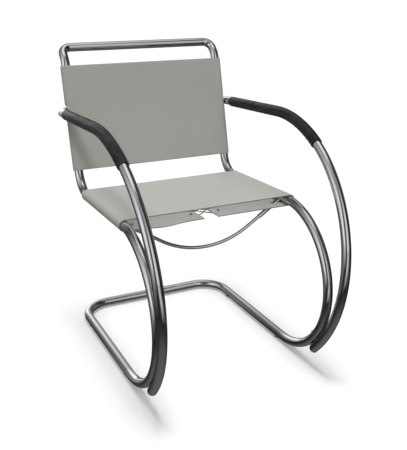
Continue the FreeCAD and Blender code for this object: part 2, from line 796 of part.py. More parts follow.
SEAT_ROW_START = RAIL_START + RAIL * size("seat_row_margin")
SEAT_FIELD = LaceField(SEAT_ROW_START - RAIL_UP * size("flap_axis"), RAIL, RAIL_UP * -1.0,
                       "Sizes.seat_eyelet_span")
BACK_ROW_START = BACK_START + BACK * size("back_row_margin")
BACK_FIELD = LaceField(BACK_ROW_START + BEHIND_BACK * size("flap_axis"), BACK, BEHIND_BACK,
                       "Sizes.back_eyelet_span")


def cut_eyelet_holes(body, name, field):
    """Two rows of holes, cut outwards through the flaps from inside the sling."""
    inside = field.middle - field.outwards * size("sling_thickness")
    place = placed(inside, ACROSS, field.along)
    sketch = pocketed(body, name, place, "2 * Sizes.sling_thickness")
    circle(sketch, "Sizes.eyelet_hole", "right_hole", -1.0, "Sizes.eyelet_offset")
    circle(sketch, "Sizes.eyelet_hole", "left_hole", 1.0, "Sizes.eyelet_offset")
    first = doc.getObject(name)
    row_of(body, name + "_row", first, sketch, field.span, "Sizes.eyelet_count")


def make_seat_sling():
    body = new_body("seat_sling")
    angle = size("sling_front_angle") - size("seat_slope")
    towards_panel = leaning(-angle)
    ahead = leaning(90.0 - angle)
    front = CURVE_CENTRE + towards_panel * size("front_curve_radius")
    place = placed(outline_start(front, towards_panel), ACROSS, towards_panel)
    outline = new_sketch(body, "seat_outline", place)
    sling_outline(outline)
    path = new_sketch(body, "seat_path", placed(front, ahead, towards_panel * -1.0))
    steps = [bend("Sizes.front_curve_radius", "Sizes.sling_front_angle"),
             run("Sizes.rail_straight")]
    trace(path, steps)
    pipe = body.newObject("PartDesign::AdditivePipe", "seat_panel")
    pipe.Profile = outline
    pipe.Spine = every_edge(path)
    for name, side in SIDES.items():
        middle = STRETCHER_END + ACROSS * (side * size("slot_centre"))
        inside = middle - RAIL_UP * (size("flap_axis") - size("sling_thickness"))
        first = (ACROSS * (size("slot_straight") / -2) - RAIL * size("slot_half_width"))
        sketch = pocketed(body, "ferrule_slot_" + name, placed(inside + first, ACROSS, RAIL),
                          "2 * Sizes.sling_thickness")
        slot_steps = [
            run("Sizes.slot_straight"),
            bend("Sizes.slot_half_width", "180"),
            run("Sizes.slot_straight"),
            bend("Sizes.slot_half_width", "180"),
        ]
        trace(sketch, slot_steps, closed=True)
    cut_eyelet_holes(body, "seat_holes", SEAT_FIELD)
    return body


def make_back_sling():
    body = new_body("back_sling")
    top = BACK_START + BACK * size("back_sling_length")
    in_front = BEHIND_BACK * -1.0
    place = placed(outline_start(top, in_front), ACROSS, in_front)
    sling_outline(padded(body, "back_panel", place, "Sizes.back_sling_length"))
    for name, side in SIDES.items():
        hook = ARMS[name].hook_point()
        nearest = Vector(side * HALF_WIDTH, hook.y, hook.z)
        depth = size("notch_side") + size("notch_gap") + size("touch_distance")
        deepest = nearest - BEHIND_BACK * depth
        inner = size("arm_elbow_radius") if side > 0 else size("notch_width") - size("arm_elbow_radius")
        first = deepest - ACROSS * inner - BACK * size("notch_half_height")
        sketch = pocketed(body, "arm_notch_" + name, placed(first, ACROSS, BACK),
                          "Sizes.notch_depth + Sizes.notch_gap")
        notch_steps = [
            run("Sizes.notch_width"),
            corner(90.0),
            run("2 * Sizes.notch_half_height"),
            corner(90.0),
            run("Sizes.notch_width"),
            corner(90.0),
            run("2 * Sizes.notch_half_height"),
        ]
        trace(sketch, notch_steps, closed=True)
    cut_eyelet_holes(body, "back_holes", BACK_FIELD)
    return body


def make_eyelets(label, field):
    """Metal rings in the flaps: one row padded and repeated, then mirrored across."""
    row = new_body(label + "_left_row")
    name = label + "_ring"
    start = field.eyelet(1.0, 0) + field.outwards * (size("eyelet_length") / 2)
    sketch = padded(row, name, placed(start, ACROSS, field.along), "Sizes.eyelet_length")
    circle(sketch, "Sizes.eyelet_diameter", "rim")
    circle(sketch, "Sizes.eyelet_bore", "bore")
    ring = doc.getObject(name)
    row_of(row, name + "_row", ring, sketch, field.span, "Sizes.eyelet_count")
    other = doc.addObject("Part::Mirroring", label + "_right_row")
    other.Source = row
    other.Normal = ACROSS
    return grouped(label, [row, other])


def quarter(centre, first, second, radius):
    """A quarter arc about a centre, from one unit direction to another."""
    middle = (first + second).normalize()
    return Part.Arc(centre + first * radius, centre + middle * radius, centre + second * radius)


def lace_route(field):
    """Criss-cross route from a knot to the last row, across it, and back to the other knot.

    Each crossing lies inside one flap and outside the other, so the cord goes through every
    eyelet from one side of the leather to the other.
    """
    rise = size("lace_rise")
    last = int(size("eyelet_count")) - 1
    stops = [(1.0 if row % 2 == 0 else -1.0, row) for row in range(last + 1)]
    stops += [(-side, row) for side, row in reversed(stops)]
    points = [field.eyelet(side, row) for side, row in stops]
    knot_rise = size("eyelet_length") / 2 + size("knot_diameter") / 2 + size("lace_gap")
    inwards = field.outwards * -1.0
    knots = [points[0] + inwards * knot_rise, points[-1] + inwards * knot_rise]
    curves = [Part.LineSegment(knots[0], points[0])]
    for number in range(1, len(points)):
        ahead = (points[number] - points[number - 1]).normalize()
        leave_side = field.outwards if number <= last + 1 else inwards
        arrive_side = inwards if number <= last else field.outwards
        centre = points[number - 1] + ahead * rise
        far_centre = points[number] - ahead * rise
        leave = centre + leave_side * rise
        arrive = far_centre + arrive_side * rise
        curves.append(quarter(centre, ahead * -1.0, leave_side, rise))
        if number == last + 1:
            curves.append(Part.LineSegment(leave, arrive))
        else:
            curves += slanted_crossing(leave, arrive, ahead)
        curves.append(quarter(far_centre, arrive_side, ahead, rise))
    curves.append(Part.LineSegment(points[-1], knots[1]))
    return curves, knots


def slanted_crossing(leave, arrive, ahead):
    """A crossing that changes sides between the flaps, clear of the one it crosses.

    All slants lie on one side of the middle, where the two crossings of a row are apart.
    """
    reaches = [size("flap_opening") / 2 - size("slant_edge_gap"), -size("slant_overshoot")]
    if ahead.x > 0:
        reaches.reverse()
    first = leave + ahead * ((reaches[0] - leave.x) / ahead.x)
    second = arrive - ahead * ((arrive.x - reaches[1]) / ahead.x)
    slant = (second - first).normalize()
    cut = size("slant_bend_cut")
    arc_points = []
    for place, before, after in ((first, ahead, slant), (second, slant, ahead)):
        start = place - before * cut
        end = place + after * cut
        half_turn = before.getAngle(after) / 2
        bulge = cut * math.sin(half_turn) - cut * math.tan(half_turn / 2) * math.cos(half_turn)
        inner = (after - before).normalize()
        arc_points.append((start, place + inner * bulge, end))
    one, two = arc_points
    return [
        Part.LineSegment(leave, one[0]),
        Part.Arc(*one),
        Part.LineSegment(one[2], two[0]),
        Part.Arc(*two),
        Part.LineSegment(two[2], arrive),
    ]


def make_lace(label, field):
    """A round cord laced through the eyelets, with a knot at each end."""
    curves, knots = lace_route(field)
    route = Part.Wire([curve.toShape() for curve in curves])
    start_direction = (curves[0].EndPoint - curves[0].StartPoint).normalize()
    section = Part.Circle(curves[0].StartPoint, start_direction, size("lace_diameter") / 2)
    cord = route.makePipeShell([Part.Wire([section.toShape()])], True, False)
    balls = [Part.makeSphere(size("knot_diameter") / 2, knot) for knot in knots]
    lace = doc.addObject("Part::Feature", label)
    lace.Label = label
    lace.Shape = cord.fuse(balls)
    expected = math.pi * (size("lace_diameter") / 2) ** 2 * route.Length
    print(f"{label}: {route.Length:.0f} mm long, cord volume ratio {cord.Volume / expected:.4f}")
    return lace


def make_glide(label, side, reach):
    """A pad under a runner: a disc with a seat for the tube."""
    body = new_body(label)
    base = Vector(side * HALF_WIDTH, CURVE_CENTRE.y + reach, 0)
    sketch = padded(body, label + "_disc", placed(base, ACROSS, REARWARDS), "Sizes.glide_height")
    circle(sketch, "Sizes.glide_diameter", "disc")
    beside = base + UP * size("floor_axis") - REARWARDS * size("glide_diameter")
    drill(body, label + "_seat", beside, REARWARDS, "Sizes.tube_diameter", "2 * Sizes.glide_diameter")
    return body


def build_nodes():
    """Every physical piece, under the name of its node."""
    nodes = [make_base_frame(), make_upper_frame(), make_joint_screws()]
    for name, side in SIDES.items():
        nodes.append(make_rail_sleeve(name))
        nodes.append(make_arm_tube(name))
        nodes.extend(make_arm_plugs(name))
        nodes.append(make_arm_wrap(name))
        nodes.append(make_ferrule(name))
        nodes.append(make_glide("glide_front_" + name, side, size("glide_front_reach")))
        nodes.append(make_glide("glide_rear_" + name, side, size("glide_rear_reach")))
    hook_seats = {name: hook_screw_head(name) for name in SIDES}
    contact_seats = {name: contact_screw_head(side) for name, side in SIDES.items()}
    nodes.append(make_screws("arm_rear_screws", hook_seats, BEHIND_BACK * -1.0))
    nodes.append(make_screws("arm_front_screws", contact_seats, CONTACT))
    nodes.append(make_stretcher_rod())
    nodes.append(make_seat_sling())
    nodes.append(make_back_sling())
    nodes.append(make_eyelets("seat_eyelets", SEAT_FIELD))
    nodes.append(make_eyelets("back_eyelets", BACK_FIELD))
    nodes.append(make_lace("seat_lace", SEAT_FIELD))
    nodes.append(make_lace("back_lace", BACK_FIELD))
    return nodes


def check_document():
    """Stop if any object of the document failed to build."""
    for item in doc.Objects:
        if "Invalid" in item.State or "Error" in item.State:
            raise RuntimeError(f"{item.Label} failed: {item.State}")


def write_nodes(nodes):
    """Check each piece, then write it to its own file."""
    for node in nodes:
        shape = node.Shape
        if shape.isNull() or not shape.isValid():
            raise RuntimeError(f"{node.Label} has no valid shape")
        if not shape.Solids:
            raise RuntimeError(f"{node.Label} holds no solid")
    for node in nodes:
        node.Shape.exportStep(f"parts/{node.Label}.step")
        box = node.Shape.BoundBox
        print(f"{node.Label}: {len(node.Shape.Solids)} solids, {node.Shape.Volume:.0f} mm3, "
              f"y {box.YMin:.1f} to {box.YMax:.1f}, z {box.ZMin:.1f} to {box.ZMax:.1f}")


all_nodes = build_nodes()
doc.recompute()
check_document()
write_nodes(all_nodes)
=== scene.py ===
"""Looks of the cantilever armchair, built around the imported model, in metres.

The chair faces -Y and the sitter's left is +X. The tubes, rod, plugs, screws, eyelets and
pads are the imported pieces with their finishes. The slings, arm wraps and laces are modelled
here.
"""
import math

import bmesh
import bpy
from mathutils import Matrix, Vector, noise


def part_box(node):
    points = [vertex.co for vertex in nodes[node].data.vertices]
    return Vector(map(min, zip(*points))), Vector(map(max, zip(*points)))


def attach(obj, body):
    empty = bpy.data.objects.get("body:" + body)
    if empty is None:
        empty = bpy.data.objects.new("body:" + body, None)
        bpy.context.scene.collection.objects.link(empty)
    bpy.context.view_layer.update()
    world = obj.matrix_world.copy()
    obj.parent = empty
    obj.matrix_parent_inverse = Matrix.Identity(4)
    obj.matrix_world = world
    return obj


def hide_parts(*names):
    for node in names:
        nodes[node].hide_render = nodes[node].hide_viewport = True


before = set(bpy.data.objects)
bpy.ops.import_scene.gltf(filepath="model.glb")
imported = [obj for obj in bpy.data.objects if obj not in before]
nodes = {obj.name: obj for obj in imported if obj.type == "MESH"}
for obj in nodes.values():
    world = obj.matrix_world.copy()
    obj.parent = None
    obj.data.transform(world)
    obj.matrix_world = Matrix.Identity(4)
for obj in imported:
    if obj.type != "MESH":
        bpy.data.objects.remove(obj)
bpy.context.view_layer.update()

ACROSS = Vector((1.0, 0.0, 0.0))
REARWARDS = Vector((0.0, 1.0, 0.0))

# driving sizes of the frame, the same as in the model
TUBE_RADIUS = 0.012
TUBE_GAP = 0.0003
CURVE_RADIUS = 0.200
SEAT_SLOPE = math.radians(1.65)
BACK_LEAN = math.radians(13.1)
KINK_TURN = math.radians(33.6)
KINK_RADIUS = 0.040
SEAT_RAIL_LENGTH = 0.3414
BACK_LENGTH = 0.3532
REAR_BEND_RADIUS = 0.068
ARM_RADIUS = 0.3401
ARM_CONTACT = math.radians(38.4)
ARM_SLOPE = math.radians(2.57)

# slings
SLING_THICKNESS = 0.0029
SLING_GAP = 0.0003
SLING_FRONT = math.radians(5.1)
SLING_TOP_MARGIN = 0.0028
FLAP_OPENING = 0.0374
EYELET_COUNT = 9
EYELET_PITCH = 0.030
EYELET_INSET = 0.0193
EYELET_HOLE = 0.0075
EYELET_RISE = 0.0004
LACE_RADIUS = 0.0015
LACE_GAP = 0.0002
LACE_SAG = 0.3
KNOT_RISE = 0.0046
KNOT_RADIUS = 0.00105
KNOT_LOBE = 0.00062
KNOT_SWING = 0.0009
KNOT_CORD_RADIUS = LACE_RADIUS * 0.85
FERRULE_ANGLE = math.radians(32.6)
FERRULE_RADIUS = 0.006
FERRULE_SLOT_GAP = 0.0015
STRETCHER_REACH = 0.0246
NOTCH_GAP = 0.0025
NOTCH_INSET = 0.0243
NOTCH_OVERCUT = 0.004
NOTCH_ROUNDING = 0.006
PANEL_DIP = {"seat": 0.0016, "back": 0.0014}
FLAP_RIPPLE = 0.0007
RIPPLE_FADE = 0.02
FRONT_FADE = 0.01
DROOP = 0.0048
DROOP_PLACE = 0.100
DROOP_WIDTH = 0.045
DROOP_LENGTH = 0.030

# arm wraps
WRAP_INNER = 0.01215
WRAP_OUTER = 0.01435
WRAP_FRONT = math.radians(31.6)
WRAP_RUN = 0.250


def leaning(angle):
    """The direction in side view that leans back by an angle from straight up."""
    return Vector((0.0, math.sin(angle), math.cos(angle)))


base_low, base_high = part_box("base_frame")
HALF_WIDTH = base_high.x - TUBE_RADIUS
CURVE_CENTRE = Vector((0.0, base_low.y + CURVE_RADIUS + TUBE_RADIUS,
                       base_high.z - CURVE_RADIUS - TUBE_RADIUS))
RAIL = leaning(math.pi / 2 + SEAT_SLOPE)
RAIL_UP = leaning(SEAT_SLOPE)
BACK = leaning(BACK_LEAN)
BEHIND_BACK = leaning(math.pi / 2 + BACK_LEAN)
REAR_CUT = REAR_BEND_RADIUS * math.tan((math.pi / 2 - BACK_LEAN + SEAT_SLOPE) / 2)
KINK_CUT = KINK_RADIUS * math.tan(KINK_TURN / 2)
RAIL_START = CURVE_CENTRE + RAIL_UP * CURVE_RADIUS
RAIL_CORNER = RAIL_START + RAIL * SEAT_RAIL_LENGTH
RAIL_STRAIGHT = SEAT_RAIL_LENGTH - REAR_CUT
BACK_START = RAIL_CORNER + BACK * REAR_CUT
BACK_SLING_LENGTH = BACK_LENGTH - REAR_CUT - KINK_CUT - SLING_TOP_MARGIN
SLING_MIDDLE_RADIUS = TUBE_RADIUS + SLING_GAP + SLING_THICKNESS / 2
EYELET_OFFSET = FLAP_OPENING / 2 + EYELET_INSET
EYELET_SPAN = EYELET_PITCH * (EYELET_COUNT - 1)


class Shader:
    """Adds nodes and links to the node tree of one material, light or world."""

    def __init__(self, owner):
        owner.use_nodes = True
        self.nodes = owner.node_tree.nodes
        self.links = owner.node_tree.links
        self.nodes.clear()

    def add(self, kind, inputs=None, **settings):
        """A new node; an input is either another node's socket or a plain value."""
        node = self.nodes.new(kind)
        for key, value in settings.items():
            setattr(node, key, value)
        for key, value in (inputs or {}).items():
            if isinstance(value, bpy.types.NodeSocket):
                self.links.new(value, node.inputs[key])
            else:
                node.inputs[key].default_value = value
        return node

    def maths(self, operation, first, second=0.0):
        return self.add("ShaderNodeMath", {0: first, 1: second}, operation=operation).outputs[0]

    def blend(self, factor, first, second):
        node = self.add("ShaderNodeMix", {0: factor, 6: first, 7: second}, data_type="RGBA")
        return node.outputs[2]

    def ramp(self, factor, stops):
        """Colours over a factor; each stop is a place and a grey level or a colour."""
        node = self.add("ShaderNodeValToRGB", {0: factor})
        elements = node.color_ramp.elements
        while len(elements) < len(stops):
            elements.new(0.5)
        for element, (place, level) in zip(elements, stops):
            colour = (level, level, level) if isinstance(level, float) else level
            element.position = place
            element.color = (*colour, 1.0)
        return node.outputs[0]

    def between(self, factor, low, high):
        """A value from low to high over a factor from nought to one."""
        return self.add("ShaderNodeMapRange", {0: factor, 3: low, 4: high}).outputs[0]

    def noise(self, place, scale, detail=3.0, roughness=0.5):
        node = self.add("ShaderNodeTexNoise", {"Vector": place, "Scale": scale,
                                               "Detail": detail, "Roughness": roughness})
        return node.outputs[0]

    def bump(self, height, distance, strength=1.0, normal=None):
        inputs = {"Height": height, "Distance": distance, "Strength": strength}
        if normal is not None:
            inputs["Normal"] = normal
        return self.add("ShaderNodeBump", inputs).outputs[0]

    def surface(self, **inputs):
        """A Principled surface; a key's underscores stand for the spaces in a socket's name."""
        named = {key.replace("_", " "): value for key, value in inputs.items()}
        shader = self.add("ShaderNodeBsdfPrincipled", named)
        self.output(shader.outputs[0])

    def output(self, socket, kind="ShaderNodeOutputMaterial"):
        self.add(kind, {"Surface": socket})


def new_material(name):
    material = bpy.data.materials.new(name)
    return material, Shader(material)


def object_place(shader):
    return shader.add("ShaderNodeTexCoord").outputs["Object"]


def shaded(colour, share):
    """A colour times a share: under one is darker."""
    return tuple(part * share for part in colour)


def chrome(name, colour, roughness):
    """Polished plate: a faint haze and hardly visible ripples from polishing."""
    material, shader = new_material(name)
    place = object_place(shader)
    haze = shader.noise(place, 35.0, 4.0, 0.6)
    rough = shader.between(haze, roughness * 0.7, roughness * 1.5)
    tint = shader.ramp(shader.noise(place, 9.0), [(0.3, colour), (0.7, shaded(colour, 0.94))])
    ripple = shader.bump(shader.noise(place, 60.0, 2.0), 0.00003, 0.4)
    shader.surface(Base_Color=tint, Metallic=1.0, Roughness=rough, Normal=ripple)
    return material


def metal(name, colour, roughness, grain):
    """Turned or stamped metal with a fine grain."""
    material, shader = new_material(name)
    place = object_place(shader)
    streaks = shader.noise(place, grain, 5.0, 0.7)
    tint = shader.ramp(streaks, [(0.3, shaded(colour, 0.8)), (0.7, colour)])
    rough = shader.between(streaks, roughness * 0.75, roughness * 1.25)
    fine = shader.bump(streaks, 0.00006, 0.5)
    shader.surface(Base_Color=tint, Metallic=1.0, Roughness=rough, Normal=fine)
    return material


# pebbles of the leathers' grain, per metre
SLING_PEBBLES = 900.0
WRAP_PEBBLES = 420.0


def leather_height(shader, place, pebbles):
    """Grain of leather: fine pebbles between creases."""
    cells = shader.add("ShaderNodeTexVoronoi", {"Vector": place, "Scale": pebbles},
                       feature="DISTANCE_TO_EDGE")
    creases = shader.ramp(cells.outputs[0], [(0.0, 0.0), (0.12, 1.0)])
    pores = shader.noise(place, pebbles * 2.5, 3.0, 0.6)
    return shader.maths("ADD", shader.maths("MULTIPLY", creases, 0.6),
                        shader.maths("MULTIPLY", pores, 0.5))


def smooth_leather(name, colour, roughness):
    """Pale dyed leather with a tight grain and faint clouds of colour."""
    material, shader = new_material(name)
    place = object_place(shader)
    clouds = shader.noise(place, 14.0, 4.0, 0.55)
    tint = shader.ramp(clouds, [(0.35, shaded(colour, 0.965)), (0.65, colour)])
    height = leather_height(shader, place, SLING_PEBBLES)
    speck = shader.blend(shader.maths("MULTIPLY", height, 0.06), tint, (*shaded(colour, 0.75), 1.0))
    grain = shader.bump(height, 0.00012, 0.7)
    waves = shader.bump(shader.noise(place, 22.0, 2.0), 0.0004, 0.35, grain)
    rough = shader.between(clouds, roughness - 0.05, roughness + 0.05)
    shader.surface(Base_Color=speck, Roughness=rough, Normal=waves)
    return material


def flesh_leather(name, colour):
    """The unfinished inner side: short fibres and small blotches."""
    material, shader = new_material(name)
    place = object_place(shader)
    blotches = shader.noise(place, 160.0, 5.0, 0.7)
    fibres = shader.noise(place, 1400.0, 3.0, 0.7)
    tint = shader.ramp(blotches, [(0.3, shaded(colour, 0.78)), (0.62, colour)])
    height = shader.maths("ADD", shader.maths("MULTIPLY", blotches, 0.6), fibres)
    shader.surface(Base_Color=tint, Roughness=0.88, Normal=shader.bump(height, 0.0002, 0.8))
    return material


def edge_leather(name, colour):
    """A cut and burnished edge, darker than the face, with fibres along it."""
    material, shader = new_material(name)
    place = object_place(shader)
    fibres = shader.noise(place, 700.0, 4.0, 0.7)
    tint = shader.ramp(fibres, [(0.3, shaded(colour, 0.7)), (0.7, colour)])
    shader.surface(Base_Color=tint, Roughness=0.6, Normal=shader.bump(fibres, 0.00015, 0.7))
    return material


# streaks of the black leather, per turn around and per metre along
STREAKS_PER_MAP = (8.0, 11.0, 0.0)


def black_leather(name, colour, worn_and_sheen):
    """Charcoal leather drawn tight along its tube: long streaks, creases, and high spots lighter
    partly from wear and partly from painted sheen.
    """
    material, shader = new_material(name)
    place = object_place(shader)
    height = leather_height(shader, place, WRAP_PEBBLES)
    creases = shader.noise(place, 70.0, 5.0, 0.65)
    flat = shader.add("ShaderNodeUVMap").outputs[0]
    stretched = shader.add("ShaderNodeVectorMath", {0: flat, 1: STREAKS_PER_MAP},
                           operation="MULTIPLY")
    lengthwise = shader.noise(stretched.outputs[0], 1.0, 3.0, 0.6)
    streaks = shader.ramp(lengthwise, [(0.35, 0.0), (0.68, 1.0)])
    rubbed = shader.ramp(shader.noise(place, 26.0, 4.0, 0.6), [(0.45, 0.0), (0.75, 1.0)])
    # the lighter colour on rubbed grain and along the streaks is partly wear and partly painted
    # sheen
    high = shader.maths("ADD", shader.maths("MULTIPLY", rubbed, height),
                        shader.maths("MULTIPLY", streaks, 0.5))
    tint = shader.blend(shader.maths("MULTIPLY", high, 0.7), (*colour, 1.0), (*worn_and_sheen, 1.0))
    grain = shader.bump(height, 0.0003, 0.8)
    drawn = shader.bump(streaks, 0.0016, 1.0, grain)
    folds = shader.bump(creases, 0.0012, 0.45, drawn)
    rough = shader.between(streaks, 0.52, 0.34)
    shader.surface(Base_Color=tint, Roughness=rough, Normal=folds, Specular_IOR_Level=0.32)
    return material


BRAID_STRANDS = 4.0
BRAID_PITCH = 0.004


def braided_cord(name, colour):
    """Round braided cord: two sets of strands that cross, laid out on the cord's own map."""
    material, shader = new_material(name)
    flat = shader.add("ShaderNodeUVMap").outputs[0]
    parts = shader.add("ShaderNodeSeparateXYZ", {0: flat})
    around = shader.maths("MULTIPLY", parts.outputs[0], BRAID_STRANDS * math.tau)
    along = shader.maths("MULTIPLY", parts.outputs[1], math.tau / BRAID_PITCH)
    one = shader.maths("SINE", shader.maths("ADD", around, along))
    other = shader.maths("SINE", shader.maths("SUBTRACT", around, along))
    upper = shader.maths("MAXIMUM", one, other)
    weave = shader.maths("MULTIPLY", shader.maths("ADD", upper, 1.0), 0.5)
    # the hollows between the strands are painted darker: painted shade
    tint = shader.ramp(weave, [(0.2, shaded(colour, 0.55)), (0.8, colour)])
    shader.surface(Base_Color=tint, Roughness=0.8, Normal=shader.bump(weave, 0.0002, 0.9))
    return material


def moulded_plastic(name, colour):
    material, shader = new_material(name)
    place = object_place(shader)
    stipple = shader.noise(place, 1800.0, 3.0, 0.6)
    tint = shader.ramp(stipple, [(0.3, shaded(colour, 0.8)), (0.7, colour)])
    shader.surface(Base_Color=tint, Roughness=0.55, Normal=shader.bump(stipple, 0.00005, 0.6))
    return material


CHROME_COLOUR = (0.62, 0.625, 0.63)
SEAT_COLOUR = (0.430, 0.422, 0.394)
BACK_COLOUR = (0.430, 0.422, 0.390)
EDGE_COLOUR = (0.34, 0.332, 0.306)

finishes = {
    "tube": chrome("polished_chrome_tube", CHROME_COLOUR, 0.008),
    # the rod's chrome is a lighter copy of the tube's chrome: painted light
    "rod": chrome("chrome_rod_painted_light", shaded(CHROME_COLOUR, 1.15), 0.03),
    # the plugs' chrome is a darker copy of the tube's chrome: painted shade
    "plug": chrome("chrome_plug_painted_shade", shaded(CHROME_COLOUR, 0.8), 0.16),
    "screw": metal("plated_screw", (0.50, 0.50, 0.51), 0.22, 900.0),
    "sleeve": metal("turned_steel", (0.36, 0.36, 0.37), 0.35, 600.0),
    "eyelet": metal("nickel_eyelet", (0.60, 0.59, 0.57), 0.42, 1500.0),
    "glide": moulded_plastic("moulded_pad", (0.30, 0.30, 0.30)),
    "seat": smooth_leather("seat_leather_face", SEAT_COLOUR, 0.52),
    "back": smooth_leather("back_leather_face", BACK_COLOUR, 0.52),
    "flesh": flesh_leather("leather_flesh_side", (0.385, 0.379, 0.360)),
    "edge": edge_leather("leather_cut_edge", EDGE_COLOUR),
    # the wrap's second colour is its wear and painted sheen
    "wrap": black_leather("wrap_leather", (0.003, 0.003, 0.0032), (0.044, 0.042, 0.042)),
    "wrap_edge": edge_leather("wrap_cut_edge", (0.012, 0.012, 0.012)),
    "cord": braided_cord("braided_lace", (0.25, 0.245, 0.23)),
    "thread": braided_cord("waxed_thread", (0.03, 0.03, 0.03)),
}

NODE_FINISHES = {
    "base_frame": "tube",
    "upper_frame": "tube",
    "arm_tube_left": "tube",
    "arm_tube_right": "tube",
    "arm_foot_plug_left": "plug",
    "arm_foot_plug_right": "plug",
    "arm_hook_plug_left": "plug",
    "arm_hook_plug_right": "plug",
    "stretcher_rod": "rod",
    "stretcher_ferrule_left": "rod",
    "stretcher_ferrule_right": "rod",
    "arm_rear_screws": "screw",
    "arm_front_screws": "screw",
    "joint_screws": "screw",
    "rail_sleeve_left": "sleeve",
    "rail_sleeve_right": "sleeve",
    "seat_eyelets": "eyelet",
    "back_eyelets": "eyelet",
    "glide_front_left": "glide",
    "glide_front_right": "glide",
    "glide_rear_left": "glide",
    "glide_rear_right": "glide",
}


def finish_packed_nodes():
    for name, finish in NODE_FINISHES.items():
        for mesh_slot in nodes[name].material_slots:
            mesh_slot.material = finishes[finish]


def mesh_object(name, points, faces, materials):
    mesh = bpy.data.meshes.new(name)
    mesh.from_pydata([tuple(point) for point in points], [], faces)
    mesh.update()
    piece = bpy.data.objects.new(name, mesh)
    bpy.context.scene.collection.objects.link(piece)
    for key in materials:
        mesh.materials.append(finishes[key])
    mesh.polygons.foreach_set("use_smooth", [True] * len(mesh.polygons))
    return piece


def joined(name, pieces, materials=()):
    """One object from several that don't touch."""
    form = bmesh.new()
    for piece in pieces:
        form.from_mesh(piece.data)
    mesh = bpy.data.meshes.new(name)
    form.to_mesh(mesh)
    form.free()
    for key in materials:
        mesh.materials.append(finishes[key])
    whole = bpy.data.objects.new(name, mesh)
    bpy.context.scene.collection.objects.link(whole)
    for piece in pieces:
        bpy.data.objects.remove(piece)
    return whole


def apply_modifiers(piece):
    """Turn a piece's modifiers into its mesh."""
    graph = bpy.context.evaluated_depsgraph_get()
    made = bpy.data.meshes.new_from_object(piece.evaluated_get(graph))
    old = piece.data
    piece.modifiers.clear()
    piece.data = made
    made.name = old.name + "_made"
    bpy.data.meshes.remove(old)


def shade_by_angle(piece, degrees):
    """Smooth shading that keeps edges sharper than an angle."""
    form = bmesh.new()
    form.from_mesh(piece.data)
    limit = math.radians(degrees)
    for edge in form.edges:
        edge.smooth = len(edge.link_faces) == 2 and edge.calc_face_angle(0.0) < limit
    for face in form.faces:
        face.smooth = True
    form.to_mesh(piece.data)
    form.free()


def spread(first, last, count):
    return [first + (last - first) * index / (count - 1) for index in range(count)]


class SeatTrack:
    """The line midway between the seat rails, from the front of the sling to its rear."""

    arc_length = CURVE_RADIUS * SLING_FRONT
    length = arc_length + RAIL_STRAIGHT

    def at(self, distance):
        """The point, and the direction towards the panel."""
        if distance < self.arc_length:
            towards = leaning(SEAT_SLOPE - (self.arc_length - distance) / CURVE_RADIUS)
            return CURVE_CENTRE + towards * CURVE_RADIUS, towards
        return RAIL_START + RAIL * (distance - self.arc_length), RAIL_UP


class BackTrack:
    """The line midway between the uprights, from the foot of the sling to its top."""

    length = BACK_SLING_LENGTH

    def at(self, distance):
        """The point, and the direction towards the panel."""
        return BACK_START + BACK * distance, BEHIND_BACK * -1.0


FLAP_RUN = HALF_WIDTH - FLAP_OPENING / 2
ROLL_END = HALF_WIDTH + math.pi * SLING_MIDDLE_RADIUS
HALF_GIRTH = ROLL_END + FLAP_RUN
GIRTH_STEP = 0.006
ROLL_STEPS = 16
ROW_STEP = 0.005
EDGE_ROUNDING = 0.0005
CUT_DEPTH = SLING_THICKNESS * 1.5


def sling_section(girth):
    """Place and normal in the section, as across and towards-the-panel parts."""
    side = math.copysign(1.0, girth)
    beyond = abs(girth) - HALF_WIDTH
    if beyond <= 0.0:
        return girth, SLING_MIDDLE_RADIUS, 0.0, 1.0
    turn = beyond / SLING_MIDDLE_RADIUS
    if turn <= math.pi:
        across = HALF_WIDTH + SLING_MIDDLE_RADIUS * math.sin(turn)
        height = SLING_MIDDLE_RADIUS * math.cos(turn)
        return side * across, height, side * math.sin(turn), math.cos(turn)
    along_flap = beyond - math.pi * SLING_MIDDLE_RADIUS
    return side * (HALF_WIDTH - along_flap), -SLING_MIDDLE_RADIUS, 0.0, -1.0


def girth_stations():
    """Places along the section, from the edge of one flap to the edge of the other."""
    panel = spread(0.0, HALF_WIDTH, round(HALF_WIDTH / GIRTH_STEP) + 1)
    roll = spread(HALF_WIDTH, ROLL_END, ROLL_STEPS + 1)[1:]
    flap = spread(ROLL_END, HALF_GIRTH, round(FLAP_RUN / GIRTH_STEP) + 1)[1:]
    half = panel + roll + flap
    return [-value for value in reversed(half[1:])] + half


